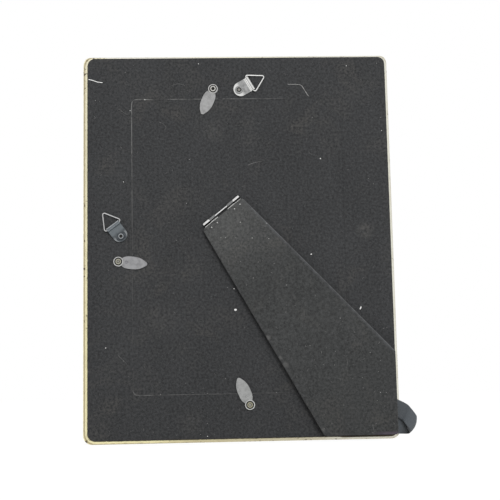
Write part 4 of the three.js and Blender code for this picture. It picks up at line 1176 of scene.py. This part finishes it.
def ribbon_rows():
    """Rows of (place, place on the flat cloth) from the leg's staple to the panel's.

    The row at the fold and the rows' lengths along the cloth are given with them.
    """
    profile, turn_start = ribbon_profile()
    steps = np.linalg.norm(np.diff(profile, axis=0), axis=1)
    lengths = np.concatenate(([0.0], np.cumsum(steps)))
    fold_row = int(np.argmax(profile[:, 0]))
    turn_length = lengths[turn_start]
    half_ruling = RIBBON_WIDTH / 2 / math.cos(FOLD_SKEW)
    rows = []
    for length, (across, height) in zip(lengths, profile):
        past = length - lengths[fold_row]
        near_fold = 1 - smooth_step(abs(past), *SLIP_FADE)
        slip = UPPER_SLIP - (UPPER_SLIP + LOWER_SLIP) * smooth_step(past, *SLIP_SHIFT)
        slide = -past * math.tan(FOLD_SKEW) + slip * near_fold
        tucked = smooth_step(length, turn_length - TUCK_START, turn_length - TUCK_FULL)
        opened = smooth_step(length, turn_length, turn_length + TUCK_END)
        crease = CREASE_ANGLE * tucked * (1 - opened)
        to_fold = smooth_step(length - turn_length, *CREASE_SHIFT)
        crease_side = CREASE_AT_LEG + (CREASE_AT_FOLD - CREASE_AT_LEG) * to_fold
        bow = 1 - smooth_step(abs(past), *BOW_FADE)
        row = []
        for k in range(RIBBON_COLUMNS):
            side = 2 * k / (RIBBON_COLUMNS - 1) - 1
            past_crease = max(0.0, crease_side - side) * half_ruling
            sideways = max(side, crease_side) * half_ruling - past_crease * math.cos(crease)
            drop = past_crease * math.sin(crease)
            bulge = bow * (BOW_OUT - BOW_LEAN * side - BOW_ENDS * side * side)
            x, z = ribbon_place(across + bulge, slide + sideways - bow * FOLD_PINCH * side)
            ripple = RIPPLE * math.sin(length / RIPPLE_LENGTH + RIPPLE_SLANT * side)
            on_cloth = length / math.cos(FOLD_SKEW) + side * half_ruling * math.sin(FOLD_SKEW)
            row.append(((x, BACK_Y - height + drop - ripple, z), (side * RIBBON_WIDTH / 2, on_cloth)))
        rows.append(row)
    return rows, fold_row, lengths / math.cos(FOLD_SKEW)


def ribbon_piece(name, rows, material):
    """A stretch of the ribbon with its real thickness and square edges."""
    build = bmesh.new()
    uv_layer = build.loops.layers.uv.new("UVMap")
    uvs = {}
    knots = []
    for row in rows:
        knots.append([build.verts.new(place) for place, on_cloth in row])
        uvs.update(zip(knots[-1], (on_cloth for place, on_cloth in row)))
    for near, far in zip(knots, knots[1:]):
        for k in range(RIBBON_COLUMNS - 1):
            face = build.faces.new((near[k], near[k + 1], far[k + 1], far[k]))
            face.smooth = True
            for loop in face.loops:
                loop[uv_layer].uv = uvs[loop.vert]
    for edge in build.edges:
        edge.smooth = not edge.is_boundary
    piece = piece_from(name, build, material)
    wall = piece.modifiers.new("thickness", "SOLIDIFY")
    wall.thickness = RIBBON_THICKNESS
    wall.offset = 0
    return made_plain(piece)


# Stage: white floor and surroundings, and soft light from the upper right of the camera
AMBIENT = 0.5
FRONT_ROOM = 0.75  # what metal sees of the room straight out of the back
FLOOR_HALF_SIZE = 4.0
FLOOR_GLOW = 0.9
FLOOR_SHADED = (0.22, 0.22, 0.22)  # what a shadow can take from the floor as it is seen
FLOOR_WHITE = (0.9, 0.9, 0.9)
WHITE = (1, 1, 1)
KEY_LAMP_PLACE = Vector((0.30, -1.55, 0.50))
KEY_LAMP_TARGET = Vector((0, 0, 0.12))
KEY_LAMP_SIZE = 0.7
KEY_LAMP_POWER = 13


def studio_surroundings():
    world = bpy.data.worlds.new("studio_surroundings")
    w = cleared(world)
    rays = w.add("ShaderNodeLightPath").outputs
    toward_front = w.vector("DOT_PRODUCT", w.place_of("Generated"), OUT_OF_BACK)
    for_metal = w.plus(1.0 - AMBIENT, w.ramp(toward_front, 0.5, 0.95), FRONT_ROOM - 1.0)
    clear_view = w.largest(rays["Is Camera Ray"], rays["Is Transmission Ray"])
    shown = w.total(w.product(clear_view, 1.0 - AMBIENT), w.product(rays["Is Glossy Ray"], for_metal))
    light = w.made("ShaderNodeBackground", {"Color": WHITE, "Strength": w.total(shown, AMBIENT)})
    w.add("ShaderNodeOutputWorld", {"Surface": light})
    bpy.context.scene.world = world


def white_floor():
    half = FLOOR_HALF_SIZE
    corners = [(-half, -half, 0), (half, -half, 0), (half, half, 0), (-half, half, 0)]
    floor = drawn("floor", corners, faces=[(0, 1, 2, 3)])
    material = bpy.data.materials.new("white_floor")
    w = cleared(material)
    rays = w.add("ShaderNodeLightPath").outputs
    seen = w.largest(rays["Is Glossy Ray"], rays["Is Transmission Ray"], rays["Is Camera Ray"])
    shaded = w.made("ShaderNodeBsdfDiffuse", {"Color": FLOOR_SHADED})
    glow = w.made("ShaderNodeEmission", {"Color": WHITE, "Strength": FLOOR_GLOW})
    shown = w.made("ShaderNodeAddShader", {0: shaded, 1: glow})
    matt = w.made("ShaderNodeBsdfDiffuse", {"Color": FLOOR_WHITE})
    both = w.made("ShaderNodeMixShader", {0: seen, 1: matt, 2: shown})
    w.add("ShaderNodeOutputMaterial", {"Surface": both})
    floor.data.materials.append(material)


def key_lamp():
    """A soft square lamp that lights the piece but isn't mirrored in its metal."""
    data = bpy.data.lights.new("key_lamp", "AREA")
    data.size = KEY_LAMP_SIZE
    data.energy = KEY_LAMP_POWER
    lamp = linked("key_lamp", data)
    lamp.location = KEY_LAMP_PLACE
    lamp.rotation_mode = "QUATERNION"
    lamp.rotation_quaternion = (KEY_LAMP_TARGET - KEY_LAMP_PLACE).to_track_quat("-Z", "Y")
    lamp.visible_glossy = False


make_camera()
bpy.context.scene.view_settings.view_transform = "Standard"
studio_surroundings()
white_floor()
key_lamp()


def axis_of(name):
    """Middle of a rivet, on its axis."""
    low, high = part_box(name)
    return (low + high) / 2


# The solids get their finishes
STEEL = (0.50, 0.51, 0.52)
STEEL_SIDE = (0.36, 0.36, 0.37)
PAPER = (0.86, 0.83, 0.76)
PAPER_FIBRE = (0.80, 0.77, 0.69)
CARD = (0.46, 0.43, 0.38)
CARD_FIBRE = (0.36, 0.33, 0.29)
flock = back_flock()
steel = plated_material("steel_wire", STEEL, STEEL_SIDE, tarnish=0.5, polish=0.3)
dress(gilding_material(), "bottom_rail", "right_stile", "top_rail", "left_stile")
dress(steel, "corner_nail_bottom_right", "corner_nail_top_right", "ribbon_staple_panel")
dress(steel, "corner_nail_bottom_left", "corner_nail_top_left", "ribbon_staple_leg")
dress(flock, "back_panel", "back_door")
dress(leg_flock(), "easel_leg")
dress(knuckle_material(), "hinge_leaf_door", "hinge_pin")
dress(leg_leaf_material(), "hinge_leaf_leg")
dress(glass_material(), "glass_pane")
dress(paper_material("plain_paper", PAPER, PAPER_FIBRE), "paper_insert")
dress(paper_material("grey_card", CARD, CARD_FIBRE), "filler_card")

# Turn buttons: zinc leaves whose tones differ as lit and shaded copies, with a painted highlight on the eye
# rim, each on a rolled rivet with painted shade in the groove round it and in its bore
BUTTON_FINISHES = (  # place, zinc, rivet, darkness of the bore
    ("top", (0.50, 0.50, 0.50), (0.70, 0.69, 0.65), 1.0),
    ("left", (0.42, 0.42, 0.43), (0.46, 0.45, 0.37), 0.4),
    ("bottom", (0.43, 0.435, 0.43), (0.44, 0.42, 0.31), 0.5),
)
# the eye rim gets a painted highlight; groove and bore get painted shade
EYE_RIM = (2.45 * MM, 2.8 * MM)  # inner and outer radius
RIVET_GROOVE = (1.55 * MM, 2.2 * MM)
RIVET_BORE = (0.95 * MM, MM)
RIM_HIGHLIGHT = (0.80, 0.80, 0.77)
# a painted shade ring round the left leaf's dimple
DIMPLE = ("Ring", Vector((-68.1, 0, 108.0)) * MM, 0.45 * MM, 0.8 * MM, (0.2, 0.19, 0.22), 0.7)
for place, zinc, rivet, darkness in BUTTON_FINISHES:
    axis = axis_of(f"button_rivet_{place}")
    rim = ("Ring", axis, *EYE_RIM, RIM_HIGHLIGHT, 0.7)
    groove = ("Ring", axis, *RIVET_GROOVE, RECESS_SHADE, 0.9)
    bore = ("Inside", axis, *RIVET_BORE, RECESS_SHADE, darkness)
    edge = darker(zinc, 0.75)
    marks = (groove, rim, DIMPLE) if place == "left" else (groove, rim)
    leaf = plated_material(f"zinc_plate_{place}", zinc, edge, tarnish=0.5, polish=0.5, marks=marks)
    on_head = (bore, groove)
    head = plated_material(f"rivet_{place}", rivet, rivet, tarnish=0.5, polish=0.35, marks=on_head)
    dress(leaf, f"turn_button_{place}")
    dress(head, f"button_rivet_{place}")

# Hangers: lit and shaded copies of one strap, the upper one bright with painted highlights at its end and
# over its roll, the left one darker as painted shade
HANGER_FINISHES = (  # place, way to the ring, plate, its edge, wire, border, bands, rings on the rivet
    ("top", Vector((0.8704, 0, 0.4924)), (0.53, 0.535, 0.53), (0.64, 0.64, 0.63), (0.95, 0.95, 0.93),
     (2.35 * MM, (1.0, 1.0, 0.98), 0.9),
     ((5.8 * MM, 7.0 * MM, 0.2 * MM, (0.97, 0.97, 0.95), 0.9),
      (7.5 * MM, 9 * MM, 0.2 * MM, (0.88, 0.88, 0.86), 0.8)),
     # a painted shadow ring round the upper rivet's bore
     (("Ring", 0.85 * MM, 1.5 * MM, RECESS_SHADE, 0.9),)),
    ("left", Vector((-0.6018, 0, 0.7986)), (0.118, 0.131, 0.142), (0.22, 0.24, 0.257), (0.60, 0.60, 0.60),
     (3.1 * MM, (0.42, 0.44, 0.45), 0.7),
     ((1.5 * MM, 7.0 * MM, 2.5 * MM, (0.26, 0.29, 0.31), 0.6),
      (8.1 * MM, 10 * MM, 0.2 * MM, (0.52, 0.54, 0.56), 0.8)),
     # painted shade in the left rivet's bore, and a painted highlight ring round it
     (("Inside", 0.75 * MM, MM, RECESS_SHADE, 0.95), ("Ring", 1.0 * MM, 1.4 * MM, (0.75, 0.77, 0.78), 0.45))),
)
for place, toward_ring, plate, edge, wire, border, bands, marks in HANGER_FINISHES:
    axis = axis_of(f"hanger_rivet_{place}")
    strap = strap_material(f"strap_{place}", plate, edge, axis, toward_ring, border, bands)
    on_head = tuple((mask, axis, *mark) for mask, *mark in marks)
    head = plated_material(f"hanger_rivet_{place}", plate, plate, tarnish=0.5, polish=0.3, marks=on_head)
    # the rings' sides get a much darker tone as painted shade
    ring = plated_material(f"ring_{place}", wire, darker(wire, 0.22), tarnish=0.35, polish=0.26)
    dress(strap, f"hanger_strap_{place}", bevel=STRAP_BEVEL)
    dress(head, f"hanger_rivet_{place}")
    dress(ring, f"hanger_ring_{place}")

# New pieces: rivet floors, lint, pile and fibres at the door's cut, and the ribbon
FLOOR_DEPTHS = (  # under the rivet's head, in millimetres
    ("button_rivet_top", 0.9), ("button_rivet_left", 0.3), ("button_rivet_bottom", 0.3),
    ("hanger_rivet_top", 0.25), ("hanger_rivet_left", 0.8),
)
FLOOR_HEIGHT = 0.3 * MM
FLOOR_RADIUS = 0.69 * MM
FLOOR_METAL = (0.42, 0.41, 0.37)
FLOOR_METAL_SIDE = (0.3, 0.3, 0.27)
DARK_FLOORS = ("button_rivet_top", "hanger_rivet_left")


def floor_place(name, depth):
    """Middle of the plug that closes a rivet's bore at a depth under its head."""
    axis = axis_of(name)
    return (axis.x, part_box(name)[0].y + depth + FLOOR_HEIGHT / 2, axis.z)


# painted shade over the floors of the top button's and left hanger's bores
floor_marks = tuple(("Inside", axis_of(name), MM, MM, RECESS_SHADE, 0.9) for name in DARK_FLOORS)
floor_metal = plated_material(
    "rivet_floor", FLOOR_METAL, FLOOR_METAL_SIDE, tarnish=0.6, polish=0.45, marks=floor_marks,
)
floor_points = drawn("rivet_floors", [floor_place(name, depth * MM) for name, depth in FLOOR_DEPTHS])
rivet_floors = shaped(floor_points, floor_tree(), {
    "Radius": FLOOR_RADIUS, "Height": FLOOR_HEIGHT, "Material": floor_metal,
})
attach(rivet_floors, "frame")

white_lint = lint_material("white_lint", (1.0, 1.0, 0.98), (0.92, 0.92, 0.90))
pale_lint = lint_material("pale_lint", (0.62, 0.62, 0.60), (0.40, 0.40, 0.39))
grey_lint = lint_material("grey_lint", (0.26, 0.26, 0.255), (0.13, 0.13, 0.128))
lint = lint_tree()
thread = thread_tree()
back_lint = shaped(merged_copy("fine_lint_back", ("back_panel", "back_door")), lint, {
    "Density": 12000.0, "Shortest": 0.25 * MM, "Longest": 1.5 * MM, "Thickness": 0.04, "Bow": 0.35,
    "Seed": 11, "Material": grey_lint,
})
leg_lint = shaped(merged_copy("fine_lint_leg", ("easel_leg",)), lint, {
    "Density": 22000.0, "Shortest": 0.3 * MM, "Longest": 1.4 * MM, "Thickness": 0.07, "Bow": 0.3,
    "Seed": 23, "Material": grey_lint,
})
cut_pile = shaped(cut_path("pile_over_door_cut", 0.0), band_tree(), {
    "Width": 0.9 * MM, "Height": 0.04 * MM, "Material": flock,
})
cut_fray = shaped(cut_path("frayed_door_cut", FRAY_LIFT), fray_tree(), {
    "Spacing": 0.5 * MM, "Shortest": 0.2 * MM, "Longest": 0.6 * MM, "Thickness": 0.05,
    "Seed": 5, "Material": grey_lint,
})
LOOSE_LINT = (  # name, body, height of what carries it, material, threads, specks
    ("specks_back", "frame", back_height, white_lint, (), BACK_SPECKS),
    ("white_thread_back", "frame", back_height, white_lint, WHITE_THREADS, ()),
    ("threads_back", "frame", back_height, pale_lint, PALE_THREADS, ()),
    ("faint_threads_back", "frame", back_height, grey_lint, FAINT_THREADS, FAINT_SPECKS),
    ("specks_leg", "leg", leg_height, pale_lint, (), BRIGHT_LEG_SPECKS),
    ("threads_leg", "leg", leg_height, grey_lint, LEG_THREADS, LEG_SPECKS),
)
on_flock = [(back_lint, "frame"), (leg_lint, "leg"), (cut_pile, "frame"), (cut_fray, "frame")]
for name, body, height_at, material, threads, specks in LOOSE_LINT:
    on_flock.append((loose_lint(name, height_at, material, threads, specks), body))
for piece, body in on_flock:
    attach(piece, body)

cloth_rows, fold_row, cloth_lengths = ribbon_rows()
satin = satin_material(cloth_lengths[fold_row])
ribbon_upper = ribbon_piece("stay_ribbon_upper", cloth_rows[:fold_row + 1], satin)
ribbon_lower = ribbon_piece("stay_ribbon_lower", cloth_rows[fold_row:], satin)
for piece in (ribbon_upper, ribbon_lower):
    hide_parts("stay_ribbon")
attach(ribbon_upper, "leg")
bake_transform(ribbon_lower)
